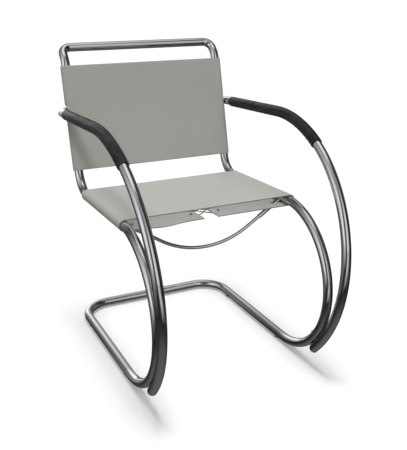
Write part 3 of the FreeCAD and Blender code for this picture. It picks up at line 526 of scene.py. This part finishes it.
def sling(name, track, shape, materials):
    """A closed leather panel with its two flaps; shape gives a small offset along the normal.

    The materials are those of the face, the inner side and the cut edge, in this order.
    """
    face_kind, inner_kind, edge_kind = range(3)
    girths = girth_stations()
    rows = spread(0.0, track.length, round(track.length / ROW_STEP) + 1)
    points = []
    for face_side in (1.0, -1.0):
        for distance in rows:
            middle, towards = track.at(distance)
            for girth in girths:
                across, height, normal_across, normal_height = sling_section(girth)
                offset = face_side * SLING_THICKNESS / 2 + shape(girth, distance, track.length)
                place = middle + ACROSS * (across + normal_across * offset)
                points.append(place + towards * (height + normal_height * offset))
    columns = len(girths)
    layer = columns * len(rows)
    faces = []
    kinds = []
    for row in range(len(rows) - 1):
        for column in range(columns - 1):
            corner = row * columns + column
            quad = (corner, corner + 1, corner + columns + 1, corner + columns)
            faces.append(quad)
            kinds.append(face_kind)
            faces.append(tuple(layer + index for index in reversed(quad)))
            kinds.append(inner_kind)
    rim = list(range(columns))
    rim += [row * columns + columns - 1 for row in range(1, len(rows))]
    rim += [(len(rows) - 1) * columns + column for column in reversed(range(columns - 1))]
    rim += [row * columns for row in reversed(range(1, len(rows) - 1))]
    for index, corner in enumerate(rim):
        following = rim[(index + 1) % len(rim)]
        faces.append((following, corner, corner + layer, following + layer))
        kinds.append(edge_kind)
    piece = mesh_object(name, points, faces, materials)
    piece.data.polygons.foreach_set("material_index", kinds)
    rounding = piece.modifiers.new("rounded_edges", "BEVEL")
    rounding.width = EDGE_ROUNDING
    rounding.segments = 2
    rounding.limit_method = "ANGLE"
    rounding.angle_limit = math.radians(50.0)
    rounding.material = edge_kind
    apply_modifiers(piece)
    return piece


def cut_with(piece, cutters):
    """Cut the joined cutters out of a piece."""
    for cutter in cutters:
        cut = piece.modifiers.new("cut", "BOOLEAN")
        cut.operation = "DIFFERENCE"
        cut.solver = "EXACT"
        cut.object = cutter
    apply_modifiers(piece)
    for cutter in cutters:
        bpy.data.objects.remove(cutter)


def prism(name, outline, centre, along_x, along_y, half_height):
    """A straight prism of an outline about a centre, as high on both sides of its plane."""
    axis = along_x.cross(along_y).normalized()
    points = []
    for level in (-half_height, half_height):
        for x, y in outline:
            points.append(centre + along_x * x + along_y * y + axis * level)
    count = len(outline)
    faces = [tuple(reversed(range(count))), tuple(range(count, 2 * count))]
    for index in range(count):
        following = (index + 1) % count
        faces.append((index, following, count + following, count + index))
    return mesh_object(name, points, faces, ["edge"])


def circle_outline(radius, count=24):
    angles = [math.tau * index / count for index in range(count)]
    return [(radius * math.cos(angle), radius * math.sin(angle)) for angle in angles]


def slot_outline(half_straight, radius, count=10):
    points = []
    for end in (1.0, -1.0):
        for angle in spread(-math.pi / 2, math.pi / 2, count):
            reach = half_straight + radius * math.cos(angle)
            points.append((end * reach, end * radius * math.sin(angle)))
    return points


class LaceField:
    """Where one sling's flaps are laced: the first row's middle and its directions."""

    def __init__(self, middle, along, outwards):
        self.middle = middle
        self.along = along
        self.outwards = outwards

    def eyelet(self, side, row):
        return self.middle + ACROSS * (side * EYELET_OFFSET) + self.along * (row * EYELET_PITCH)


SEAT_ROW_START = RAIL_START + RAIL * ((RAIL_STRAIGHT - EYELET_SPAN) / 2)
SEAT_FIELD = LaceField(SEAT_ROW_START - RAIL_UP * SLING_MIDDLE_RADIUS, RAIL, RAIL_UP * -1.0)
BACK_ROW_START = BACK_START + BACK * ((BACK_SLING_LENGTH - EYELET_SPAN) / 2)
BACK_FIELD = LaceField(BACK_ROW_START + BEHIND_BACK * SLING_MIDDLE_RADIUS, BACK, BEHIND_BACK)


def eyelet_cutters(field):
    cutters = []
    for row in range(EYELET_COUNT):
        for side in (-1.0, 1.0):
            cutters.append(prism("eyelet_cutter", circle_outline(EYELET_HOLE / 2),
                                 field.eyelet(side, row), ACROSS, field.along, CUT_DEPTH))
    return joined("eyelet_cutters", cutters)


def ferrule_cutters():
    reach = RAIL_START + RAIL * (STRETCHER_REACH - CURVE_RADIUS * math.sin(SEAT_SLOPE))
    slanted_width = 2 * FERRULE_RADIUS / math.sin(FERRULE_ANGLE)
    half_straight = (slanted_width + SLING_THICKNESS - 2 * FERRULE_RADIUS) / 2
    centre_offset = HALF_WIDTH - SLING_MIDDLE_RADIUS / math.tan(FERRULE_ANGLE)
    cutters = []
    for side in (-1.0, 1.0):
        centre = reach + ACROSS * (side * centre_offset) - RAIL_UP * SLING_MIDDLE_RADIUS
        outline = slot_outline(half_straight, FERRULE_RADIUS + FERRULE_SLOT_GAP)
        cutters.append(prism("ferrule_cutter", outline, centre, ACROSS, RAIL, CUT_DEPTH))
    return joined("ferrule_cutters", cutters)


def notch_cutters():
    """The rounded notches that let the arm tubes pass behind the uprights."""
    outer = SLING_MIDDLE_RADIUS + SLING_THICKNESS / 2
    depth = math.sqrt(outer ** 2 - (TUBE_RADIUS + TUBE_GAP) ** 2) + NOTCH_GAP
    cutters = []
    for name, side in (("left", 1.0), ("right", -1.0)):
        low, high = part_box("arm_hook_plug_" + name)
        hook = (low + high) / 2
        above = (hook - BACK_START).dot(BACK)
        level = BACK_START + BACK * above
        reach = outer + NOTCH_GAP + NOTCH_INSET
        centre = level + ACROSS * (side * (HALF_WIDTH - NOTCH_INSET + reach / 2))
        back_reach = outer + NOTCH_OVERCUT
        centre += BEHIND_BACK * ((back_reach - depth) / 2)
        outline = slot_outline(reach / 2 - NOTCH_ROUNDING, TUBE_RADIUS + NOTCH_GAP)
        half_height = (back_reach + depth) / 2
        cutters.append(prism("notch_cutter", outline, centre, ACROSS, BACK, half_height))
    return joined("notch_cutters", cutters)


def dip_shares(girth, distance, length):
    """How far inside the panel a place lies, across and lengthwise; both are nought at the edges."""
    inside = max(0.0, 1.0 - (abs(girth) / HALF_WIDTH) ** 2)
    lengthwise = math.sin(math.pi * min(1.0, max(0.0, distance / length)))
    return inside, lengthwise


def seat_shape(girth, distance, length):
    """Slack of the seat leather: a slight dip under use, and a droop of the front of one flap."""
    inside, lengthwise = dip_shares(girth, distance, length)
    offset = -PANEL_DIP["seat"] * inside * (0.35 + 0.65 * lengthwise)
    flap = abs(girth) - ROLL_END
    if flap > 0.0:
        front = math.exp(-(distance / DROOP_LENGTH) ** 2)
        spot = math.exp(-((flap - DROOP_PLACE) / DROOP_WIDTH) ** 2) if girth < 0.0 else 0.0
        ripple = noise.noise(Vector((girth * 14.0, distance * 10.0, 3.0)))
        fade = min(1.0, flap / RIPPLE_FADE) * (1.0 - math.exp(-distance / FRONT_FADE))
        offset += DROOP * spot * front + FLAP_RIPPLE * ripple * fade
    return offset


def back_shape(girth, distance, length):
    """Slack of the back leather: a slight dip, and ripples of the flaps."""
    inside, lengthwise = dip_shares(girth, distance, length)
    offset = -PANEL_DIP["back"] * inside * lengthwise
    flap = abs(girth) - ROLL_END
    if flap > 0.0:
        ripple = noise.noise(Vector((girth * 12.0, distance * 9.0, 8.0)))
        offset += FLAP_RIPPLE * ripple * min(1.0, flap / RIPPLE_FADE)
    return offset


def make_slings():
    seat_track = SeatTrack()
    seat = sling("seat_leather", seat_track, seat_shape, ["seat", "flesh", "edge"])
    cut_with(seat, [eyelet_cutters(SEAT_FIELD), ferrule_cutters()])
    shade_by_angle(seat, 40.0)
    back_track = BackTrack()
    back = sling("back_leather", back_track, back_shape, ["back", "flesh", "edge"])
    cut_with(back, [eyelet_cutters(BACK_FIELD), notch_cutters()])
    shade_by_angle(back, 40.0)
    for piece, node, track, rests in ((seat, "seat_sling", seat_track, "base_frame"),
                                      (back, "back_sling", back_track, "upper_frame")):
        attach(piece, "root")
        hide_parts(node)
    return seat


class ArmLine:
    """The leaning plane and centre line of one arm tube."""

    def __init__(self, side):
        touch = 2 * TUBE_RADIUS + TUBE_GAP
        offset = ARM_RADIUS - CURVE_RADIUS - touch
        reach = offset * math.cos(ARM_CONTACT)
        rise = offset * math.sin(ARM_CONTACT)
        run_reach = reach + ARM_RADIUS * math.sin(ARM_SLOPE)
        run_rise = rise + ARM_RADIUS * math.cos(ARM_SLOPE)
        corner = RAIL_CORNER - CURVE_CENTRE
        side_reach = corner.y + (run_rise - corner.z) * math.tan(BACK_LEAN)
        side_rise = run_rise - (side_reach - run_reach) * math.tan(ARM_SLOPE)
        contact_drop = (ARM_RADIUS - offset) * math.sin(ARM_CONTACT)
        splay = math.asin(touch / (side_rise + contact_drop))
        self.upwards = Vector((side * math.sin(splay), 0.0, math.cos(splay)))
        self.outwards = Vector((side * math.cos(splay), 0.0, -math.sin(splay)))
        base = HALF_WIDTH + touch - side_rise * math.sin(splay)
        origin = CURVE_CENTRE + ACROSS * (side * base)
        self.centre = origin + REARWARDS * reach + self.upwards * rise

    def at(self, distance):
        """Point, direction along, and upward normal at a distance from the wrap's front end."""
        arc_length = ARM_RADIUS * (WRAP_FRONT + ARM_SLOPE)
        angle = WRAP_FRONT - min(distance, arc_length) / ARM_RADIUS
        spoke = self.upwards * math.cos(angle) - REARWARDS * math.sin(angle)
        ahead = REARWARDS * math.cos(angle) + self.upwards * math.sin(angle)
        extra = max(0.0, distance - arc_length)
        return self.centre + spoke * ARM_RADIUS + ahead * extra, ahead, spoke


WRAP_LENGTH = ARM_RADIUS * (WRAP_FRONT + ARM_SLOPE) + WRAP_RUN
SEAM_ANGLE = math.pi
STITCH_PITCH = 0.006
STITCH_SLANT = 0.0011
STITCH_HALF_ANGLE = 0.17
STITCH_DEPTH = 0.0005
STITCH_ARCH = 0.00055
THREAD_RADIUS = 0.00035
WRAP_SIDES = 72
WRAP_ROWS = 260
END_STEPS = (0.0, 0.0003, 0.0008, 0.0016)
END_RUN = 0.003
BENT_LENGTH = 0.2
SOFT_DEPTH = 0.00022
FINE_DEPTH = 0.00008
FOLD_DEPTH = 0.0001
FOLD_RATE = 420.0
SEAM_DEPTH = 0.0007
SEAM_HALF_ANGLE = 0.05
END_DROP = 0.00045
END_ROUNDING = 0.0006


def wrap_radius(angle, distance, seed):
    """Outer radius of a wrap: soft folds, the butted seam below, and rounded ends."""
    around = Vector((math.cos(angle), math.sin(angle), 0.0)) * 1.1
    soft = noise.noise(around + Vector((seed, 0.0, distance * 38.0)))
    fine = noise.noise(around * 2.2 + Vector((seed, 5.0, distance * 110.0)))
    inner_bend = max(0.0, -math.cos(angle)) * (1.0 if distance < BENT_LENGTH else 0.35)
    wander = 3.0 * noise.noise(Vector((seed, distance * 30.0, angle)))
    folds = math.sin(distance * FOLD_RATE + wander)
    radius = WRAP_OUTER - SOFT_DEPTH + SOFT_DEPTH * soft + FINE_DEPTH * fine
    radius += FOLD_DEPTH * inner_bend * folds
    from_seam = abs(math.remainder(angle - SEAM_ANGLE, math.tau))
    radius -= SEAM_DEPTH * math.exp(-(from_seam / SEAM_HALF_ANGLE) ** 2)
    from_end = min(distance, WRAP_LENGTH - distance)
    return radius - END_DROP * math.exp(-(from_end / END_ROUNDING) ** 2)


def ring_point(place, ahead, normal, angle, radius):
    side = ahead.cross(normal)
    return place + normal * (math.cos(angle) * radius) + side * (math.sin(angle) * radius)


def make_wrap(name, side):
    """One leather tube round an arm, butted and stitched below; its map starts at the seam."""
    leather_kind, edge_kind = range(2)
    arm = ArmLine(side)
    around = WRAP_SIDES
    distances = [*END_STEPS, *spread(END_RUN, WRAP_LENGTH - END_RUN, WRAP_ROWS)]
    distances += [WRAP_LENGTH - step for step in reversed(END_STEPS)]
    points = []
    for outer in (True, False):
        for distance in distances:
            place, ahead, normal = arm.at(distance)
            for index in range(around):
                angle = math.tau * index / around
                radius = wrap_radius(angle, distance, 10.0 + side * 3.0) if outer else WRAP_INNER
                points.append(ring_point(place, ahead, normal, angle, radius))
    layer = around * len(distances)
    faces = []
    kinds = []
    maps = []
    for row in range(len(distances) - 1):
        for index in range(around):
            following = (index + 1) % around
            quad = (row * around + index, (row + 1) * around + index,
                    (row + 1) * around + following, row * around + following)
            turn = (index / around + 0.5) % 1.0
            next_turn = turn + 1.0 / around
            corners = [(turn, distances[row]), (turn, distances[row + 1]),
                       (next_turn, distances[row + 1]), (next_turn, distances[row])]
            faces.append(quad)
            maps += corners
            faces.append(tuple(layer + corner for corner in reversed(quad)))
            maps += reversed(corners)
            kinds += [leather_kind] * 2
    for row in (0, len(distances) - 1):
        for index in range(around):
            following = (index + 1) % around
            quad = (row * around + index, row * around + following,
                    layer + row * around + following, layer + row * around + index)
            faces.append(quad if row == 0 else tuple(reversed(quad)))
            kinds.append(edge_kind)
            maps += [(0.0, distances[row])] * 4
    piece = mesh_object("arm_leather_" + name, points, faces, ["wrap", "wrap_edge"])
    piece.data.polygons.foreach_set("material_index", kinds)
    lay_map(piece, maps)
    shade_by_angle(piece, 50.0)
    stitches = make_stitches(name, arm)
    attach(piece, "root")
    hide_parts("arm_wrap_" + name)
    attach(stitches, "root")


def lay_map(piece, places):
    """Give each face corner its place on the surface: turns around, and metres along."""
    layer = piece.data.uv_layers.new(name="round_map")
    for corner, place in zip(layer.data, places):
        corner.uv = place


def tube_along(name, points, radius, sides, material):
    """A round tube along a line of points, with its own map: once around, and metres along."""
    count = len(points)
    tangents = []
    for index in range(count):
        before = points[max(index - 1, 0)]
        after = points[min(index + 1, count - 1)]
        tangents.append((after - before).normalized())
    normal = tangents[0].orthogonal().normalized()
    normals = []
    for tangent in tangents:
        normal = (normal - tangent * normal.dot(tangent)).normalized()
        normals.append(normal)
    vertices = []
    travelled = [0.0]
    for index in range(1, count):
        travelled.append(travelled[-1] + (points[index] - points[index - 1]).length)
    for point, tangent, normal in zip(points, tangents, normals):
        for index in range(sides):
            vertices.append(ring_point(point, tangent, normal, math.tau * index / sides, radius))
    faces = []
    maps = []
    for row in range(count - 1):
        for index in range(sides):
            following = (index + 1) % sides
            faces.append((row * sides + index, row * sides + following,
                          (row + 1) * sides + following, (row + 1) * sides + index))
            maps += [(index / sides, travelled[row]), ((index + 1) / sides, travelled[row]),
                     ((index + 1) / sides, travelled[row + 1]), (index / sides, travelled[row + 1])]
    faces.append(tuple(reversed(range(sides))))
    maps += [(0.0, 0.0)] * sides
    faces.append(tuple((count - 1) * sides + index for index in range(sides)))
    maps += [(0.0, travelled[-1])] * sides
    piece = mesh_object(name, vertices, faces, [material])
    lay_map(piece, maps)
    return piece


def make_stitches(name, arm):
    """Short slanted stitches that draw the wrap's two edges together below the arm."""
    count = int((WRAP_LENGTH - 2 * STITCH_PITCH) / STITCH_PITCH)
    threads = []
    for index in range(count):
        distance = STITCH_PITCH + index * STITCH_PITCH
        points = []
        for step in spread(-1.0, 1.0, 9):
            place, ahead, normal = arm.at(distance + STITCH_SLANT * step)
            angle = SEAM_ANGLE + STITCH_HALF_ANGLE * step
            height = WRAP_OUTER - STITCH_DEPTH + STITCH_ARCH * math.cos(step * math.pi / 2)
            points.append(ring_point(place, ahead, normal, angle, height))
        threads.append(tube_along("stitch", points, THREAD_RADIUS, 6, "thread"))
    return joined("arm_stitches_" + name, threads, ["thread"])


def quarter_turn(centre, first, second, radius, count=6):
    """Points along a quarter circle from one direction to another, without its first point."""
    return [centre + (first * math.cos(angle) + second * math.sin(angle)) * radius
            for angle in spread(0.0, math.pi / 2, count)[1:]]


# height of a crossing over the flaps, as reach across and share of the lace's rise
CROSSING_FROM_LEFT = ((-0.0300, -1.0), (-0.0200, -1.24), (-0.0070, -1.58), (0.0, -1.3),
                      (0.0060, -0.42), (0.0140, 0.62), (0.0200, 1.0))
CROSSING_FROM_RIGHT = ((-0.0200, 1.0), (-0.0140, 0.79), (0.0, 0.06), (0.0120, -0.73),
                       (0.0190, -1.0))


def level_at(stops, reach):
    """Level between stops in order of their reach, held at the ends."""
    if reach <= stops[0][0]:
        return stops[0][1]
    for (reach_before, before), (reach_after, after) in zip(stops, stops[1:]):
        if reach <= reach_after:
            return before + (after - before) * (reach - reach_before) / (reach_after - reach_before)
    return stops[-1][1]


def crossing(first, last, inner_is_left, outwards, rise, sag):
    """Points of one crossing between two eyelets: inside one flap, outside the other."""
    stops = CROSSING_FROM_LEFT if inner_is_left else CROSSING_FROM_RIGHT
    ahead = (last - first).normalized()
    points = []
    for step in spread(0.0, 1.0, 27):
        place = (first + ahead * rise).lerp(last - ahead * rise, step)
        level = level_at(stops, place.x)
        level += min(0.0, level + 1.0) * sag
        points.append(place - outwards * (rise * level))
    for _ in range(2):
        middle = [(before + here * 2.0 + after) / 4.0
                  for before, here, after in zip(points, points[1:], points[2:])]
        points = [points[0], *middle, points[-1]]
    return points


def lace_points(field):
    """The criss-cross route through the eyelets, as in the model, with slack crossings."""
    rise = SLING_THICKNESS / 2 + EYELET_RISE + LACE_RADIUS + LACE_GAP
    last = EYELET_COUNT - 1
    stops = [(1.0 if row % 2 == 0 else -1.0, row) for row in range(last + 1)]
    stops += [(-side, row) for side, row in reversed(stops)]
    eyelets = [field.eyelet(side, row) for side, row in stops]
    inwards = field.outwards * -1.0
    knots = (eyelets[0] + inwards * KNOT_RISE, eyelets[-1] + inwards * KNOT_RISE)
    points = [knots[0], knots[0].lerp(eyelets[0], 0.5)]
    for number in range(1, len(eyelets)):
        first, second = eyelets[number - 1], eyelets[number]
        ahead = (second - first).normalized()
        leave_side = field.outwards if number <= last + 1 else inwards
        arrive_side = inwards if number <= last else field.outwards
        far_centre = second - ahead * rise
        points += quarter_turn(first + ahead * rise, ahead * -1.0, leave_side, rise)
        if number != last + 1:
            inner_end = second if number <= last else first
            sag = LACE_SAG * noise.noise(Vector((number * 1.7, 0.4, 2.0)))
            points += crossing(first, second, inner_end.x > 0.0, field.outwards, rise, sag)[1:-1]
        points.append(far_centre + arrive_side * rise)
        points += quarter_turn(far_centre, arrive_side, ahead, rise)
    points += [knots[1].lerp(eyelets[-1], 0.5), knots[1]]
    return points, knots


def knot_points(centre, axis):
    """A small overhand knot about the lace's end."""
    side = axis.orthogonal().normalized()
    other = axis.cross(side)
    points = []
    for angle in spread(0.0, math.tau, 49)[:-1]:
        radius = KNOT_RADIUS + KNOT_LOBE * math.cos(3.0 * angle)
        place = centre + side * (radius * math.cos(2.0 * angle))
        place += other * (radius * math.sin(2.0 * angle))
        points.append(place + axis * (KNOT_SWING * math.sin(3.0 * angle)))
    return points + [points[0]]


def make_lace(name, node, field):
    points, knots = lace_points(field)
    pieces = [tube_along("cord", points, LACE_RADIUS, 12, "cord")]
    for centre in knots:
        turns = knot_points(centre, field.outwards)
        pieces.append(tube_along("knot", turns, KNOT_CORD_RADIUS, 10, "cord"))
    lace = joined(name, pieces, ["cord"])
    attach(lace, "root")
    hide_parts(node)


CAMERA_PLACE = Vector((-0.7129, -1.54895, 0.9491))
CAMERA_AHEAD = Vector((0.4095, 0.8488, -0.3345))
CAMERA_ROLL = math.radians(-0.1)
CAMERA_LENS = 36.51
FLOOR_SIZE = 120.0
FLOOR_LIFT = 0.24
FLOOR_BOUNCE = (0.33, 0.33, 0.33, 1.0)
FLOOR_SEEN = (0.62, 0.62, 0.62, 1.0)
WORLD_FILL = (0.30, 0.30, 0.30, 1.0)
WORLD_SEEN = (1.0, 1.0, 1.0, 1.0)
OVERHEAD_CARD = (1.2, 1.2, 1.2, 1.0)

# the studio that gloss shows: degrees round from its front towards its right, and how light
STUDIO_FRONT = Vector((-0.4345, -0.9007, 0.0))
STUDIO_RIGHT = Vector((0.9007, -0.4345, 0.0))
WALL_CARDS = (
    (-180, 0.55), (-170, 0.85), (-158, 1.70), (-146, 1.30), (-133, 0.36), (-122, 0.20),
    (-112, 0.06), (-98, 0.40), (-83, 0.60), (-68, 0.90), (-55, 1.20), (-42, 1.30), (-30, 0.80),
    (-19, 0.22), (-12, 0.08), (-2, 0.06), (6, 0.25), (14, 0.70), (27, 1.30), (38, 0.75),
    (56, 0.66), (61, 0.02), (90, 0.02), (100, 0.08), (128, 0.16), (150, 0.07), (165, 0.20),
    (180, 0.55),
)
HIGH_CARDS = (
    (-180, 0.50), (-165, 0.12), (-120, 0.12), (-80, 0.44), (-45, 0.60), (-25, 0.52), (-8, 0.30),
    (8, 0.26), (25, 0.40), (52, 0.50), (64, 0.15), (76, 0.03), (148, 0.03), (162, 0.62),
    (180, 0.50),
)
CEILING_CARDS = (
    (-180, 0.50), (-165, 0.30), (-120, 0.25), (-80, 0.30), (-45, 0.40), (-20, 0.70), (10, 0.60),
    (30, 0.20), (52, 0.20), (68, 0.75), (140, 0.80), (180, 0.60),
)
FLOOR_CARDS = (
    (-180, 0.44), (-158, 0.80), (-143, 0.30), (-128, 0.14), (-112, 0.06), (-98, 0.05),
    (-83, 0.12), (-68, 0.26), (-52, 0.36), (-38, 0.22), (-22, 0.03), (-6, 0.02), (7, 0.12),
    (16, 0.62), (28, 0.95), (38, 0.36), (54, 0.33), (60, 0.02), (110, 0.02), (130, 0.06),
    (145, 0.12), (160, 0.50), (180, 0.44),
)


def make_camera():
    data = bpy.data.cameras.new("camera")
    data.sensor_fit = "VERTICAL"
    data.sensor_height = 24.0
    data.lens = CAMERA_LENS
    data.clip_end = 500.0
    camera = bpy.data.objects.new("camera", data)
    bpy.context.scene.collection.objects.link(camera)
    turn = CAMERA_AHEAD.to_track_quat("-Z", "Y").to_matrix().to_4x4()
    roll = Matrix.Rotation(CAMERA_ROLL, 4, "Z")
    camera.matrix_world = Matrix.Translation(CAMERA_PLACE) @ turn @ roll
    bpy.context.scene.camera = camera


def studio_share(shader, direction):
    """How far round the studio a direction points, as a share of the whole turn."""
    to_front, to_right = [
        shader.add("ShaderNodeVectorMath", {0: direction, 1: axis}, operation="DOT_PRODUCT")
        for axis in (STUDIO_FRONT, STUDIO_RIGHT)]
    turn = shader.maths("ARCTAN2", to_right.outputs["Value"], to_front.outputs["Value"])
    return shader.maths("ADD", shader.maths("DIVIDE", turn, math.tau), 0.5)


def card_stops(cards):
    return [(degrees / 360.0 + 0.5, level) for degrees, level in cards]


def seen_directly(shader):
    """One for rays from the camera, gloss and glass, else nought; and the kinds of ray."""
    path = shader.add("ShaderNodeLightPath").outputs
    seen = shader.maths("MAXIMUM", path["Is Camera Ray"], path["Is Glossy Ray"])
    return shader.maths("MAXIMUM", seen, path["Is Transmission Ray"]), path


def make_floor():
    """A pale floor: matt and lifted to white where it is seen, and dark with cards for gloss."""
    material, shader = new_material("pale_floor")
    seen, path = seen_directly(shader)
    shade = shader.blend(path["Is Camera Ray"], FLOOR_BOUNCE, FLOOR_SEEN)
    matt = shader.add("ShaderNodeBsdfDiffuse", {"Color": shade})
    lift = shader.add("ShaderNodeEmission", {"Strength": shader.maths("MULTIPLY", seen, FLOOR_LIFT)})
    plain = shader.add("ShaderNodeAddShader", {0: matt.outputs[0], 1: lift.outputs[0]})
    # seen by gloss from above it is dim, then come its cards, and a sheen at a low angle
    facing = shader.add("ShaderNodeLayerWeight", {"Blend": 0.5}).outputs["Facing"]
    near = shader.ramp(facing, [(0.0, 0.16), (0.2, 0.12), (0.35, 0.06), (0.5, 0.03)])
    share = studio_share(shader, object_place(shader))
    far = shader.ramp(share, card_stops(FLOOR_CARDS))
    glow = shader.blend(shader.ramp(facing, [(0.5, 0.0), (0.76, 1.0)]), near, far)
    mirrored = shader.ramp(facing, [(0.76, 0.0), (0.95, 0.7), (1.0, 1.0)])
    dull = shader.add("ShaderNodeEmission", {"Color": glow})
    sheen = shader.add("ShaderNodeBsdfGlossy", {"Roughness": 0.15})
    through_gloss = shader.add("ShaderNodeMixShader", {0: mirrored, 1: dull.outputs[0],
                                                       2: sheen.outputs[0]})
    either = shader.add("ShaderNodeMixShader", {0: path["Is Glossy Ray"], 1: plain.outputs[0],
                                                2: through_gloss.outputs[0]})
    shader.output(either.outputs[0])
    finishes["floor"] = material
    half = FLOOR_SIZE / 2
    corners = [(-half, -half, 0.0), (half, -half, 0.0), (half, half, 0.0), (-half, half, 0.0)]
    floor = mesh_object("floor", corners, [(0, 1, 2, 3)], ["floor"])
    return floor


def make_world():
    """White where it is seen, grey as fill light, and the studio's cards for gloss."""
    world = bpy.data.worlds.new("studio")
    bpy.context.scene.world = world
    shader = Shader(world)
    seen, path = seen_directly(shader)
    direction = shader.add("ShaderNodeTexCoord").outputs["Generated"]
    share = studio_share(shader, direction)
    height = shader.add("ShaderNodeSeparateXYZ", {0: direction}).outputs[2]
    walls, high, ceiling = [shader.ramp(share, card_stops(cards))
                            for cards in (WALL_CARDS, HIGH_CARDS, CEILING_CARDS)]
    # walls give way to the high cards, these to the ceiling, and this to the card overhead
    lower = shader.blend(shader.ramp(height, [(0.45, 0.0), (0.76, 1.0)]), walls, high)
    upper = shader.blend(shader.ramp(height, [(0.84, 0.0), (0.90, 1.0)]), lower, ceiling)
    overhead = shader.ramp(height, [(0.94, 0.0), (0.975, 1.0)])
    studio = shader.blend(overhead, upper, OVERHEAD_CARD)
    white = shader.blend(path["Is Glossy Ray"], WORLD_SEEN, studio)
    colour = shader.blend(seen, WORLD_FILL, white)
    back = shader.add("ShaderNodeBackground", {"Color": colour, "Strength": 1.0})
    shader.output(back.outputs[0], "ShaderNodeOutputWorld")


def sun(name, towards, strength, angle, receivers, blockers):
    """A lamp that gloss doesn't show; the pieces that it lights and that shade it are listed."""
    data = bpy.data.lights.new(name, "SUN")
    data.energy = strength
    data.angle = math.radians(angle)
    lamp = bpy.data.objects.new(name, data)
    bpy.context.scene.collection.objects.link(lamp)
    lamp.rotation_euler = Vector(towards).to_track_quat("-Z", "Y").to_euler()
    lamp.visible_glossy = False
    lamp.light_linking.receiver_collection = receivers
    lamp.light_linking.blocker_collection = blockers


def linked(name, pieces, state):
    """A set of pieces that a lamp includes or leaves out."""
    group = bpy.data.collections.new(name)
    for piece in pieces:
        group.objects.link(piece)
    for link in group.collection_objects:
        link.light_linking.link_state = state
    return group


def make_lights(floor, seat):
    """Soft lamps on the chair, and lamps from straight above for the floor's narrow shadows.

    The seat doesn't shade the soft lamps, so that its flaps are as light inside as in the photo.
    """
    all_but_floor = linked("all_but_floor", [floor], "EXCLUDE")
    all_but_seat = linked("all_but_seat", [seat], "EXCLUDE")
    only_floor = linked("only_floor", [floor], "INCLUDE")
    shading = [nodes[name] for name, finish in NODE_FINISHES.items()
               if finish in ("tube", "plug", "glide")]
    frame_pieces = linked("frame_pieces", shading, "INCLUDE")
    sun("key", (0.34, 0.62, -1.0), strength=0.90, angle=10.0,
        receivers=all_but_floor, blockers=all_but_seat)
    sun("overhead", (0.0, 0.06, -1.0), strength=2.2, angle=60.0,
        receivers=all_but_floor, blockers=all_but_seat)
    sun("floor_core", (0.0, 0.0, -1.0), strength=2.5, angle=16.0,
        receivers=only_floor, blockers=frame_pieces)
    sun("floor_halo", (0.0, 0.0, -1.0), strength=0.85, angle=105.0,
        receivers=only_floor, blockers=frame_pieces)


def main():
    bpy.context.scene.view_settings.view_transform = "Standard"
    make_camera()
    floor = make_floor()
    make_world()
    finish_packed_nodes()
    seat = make_slings()
    make_lights(floor, seat)
    for name, side in (("left", 1.0), ("right", -1.0)):
        make_wrap(name, side)
    make_lace("seat_lacing", "seat_lace", SEAT_FIELD)
    make_lace("back_lacing", "back_lace", BACK_FIELD)


main()
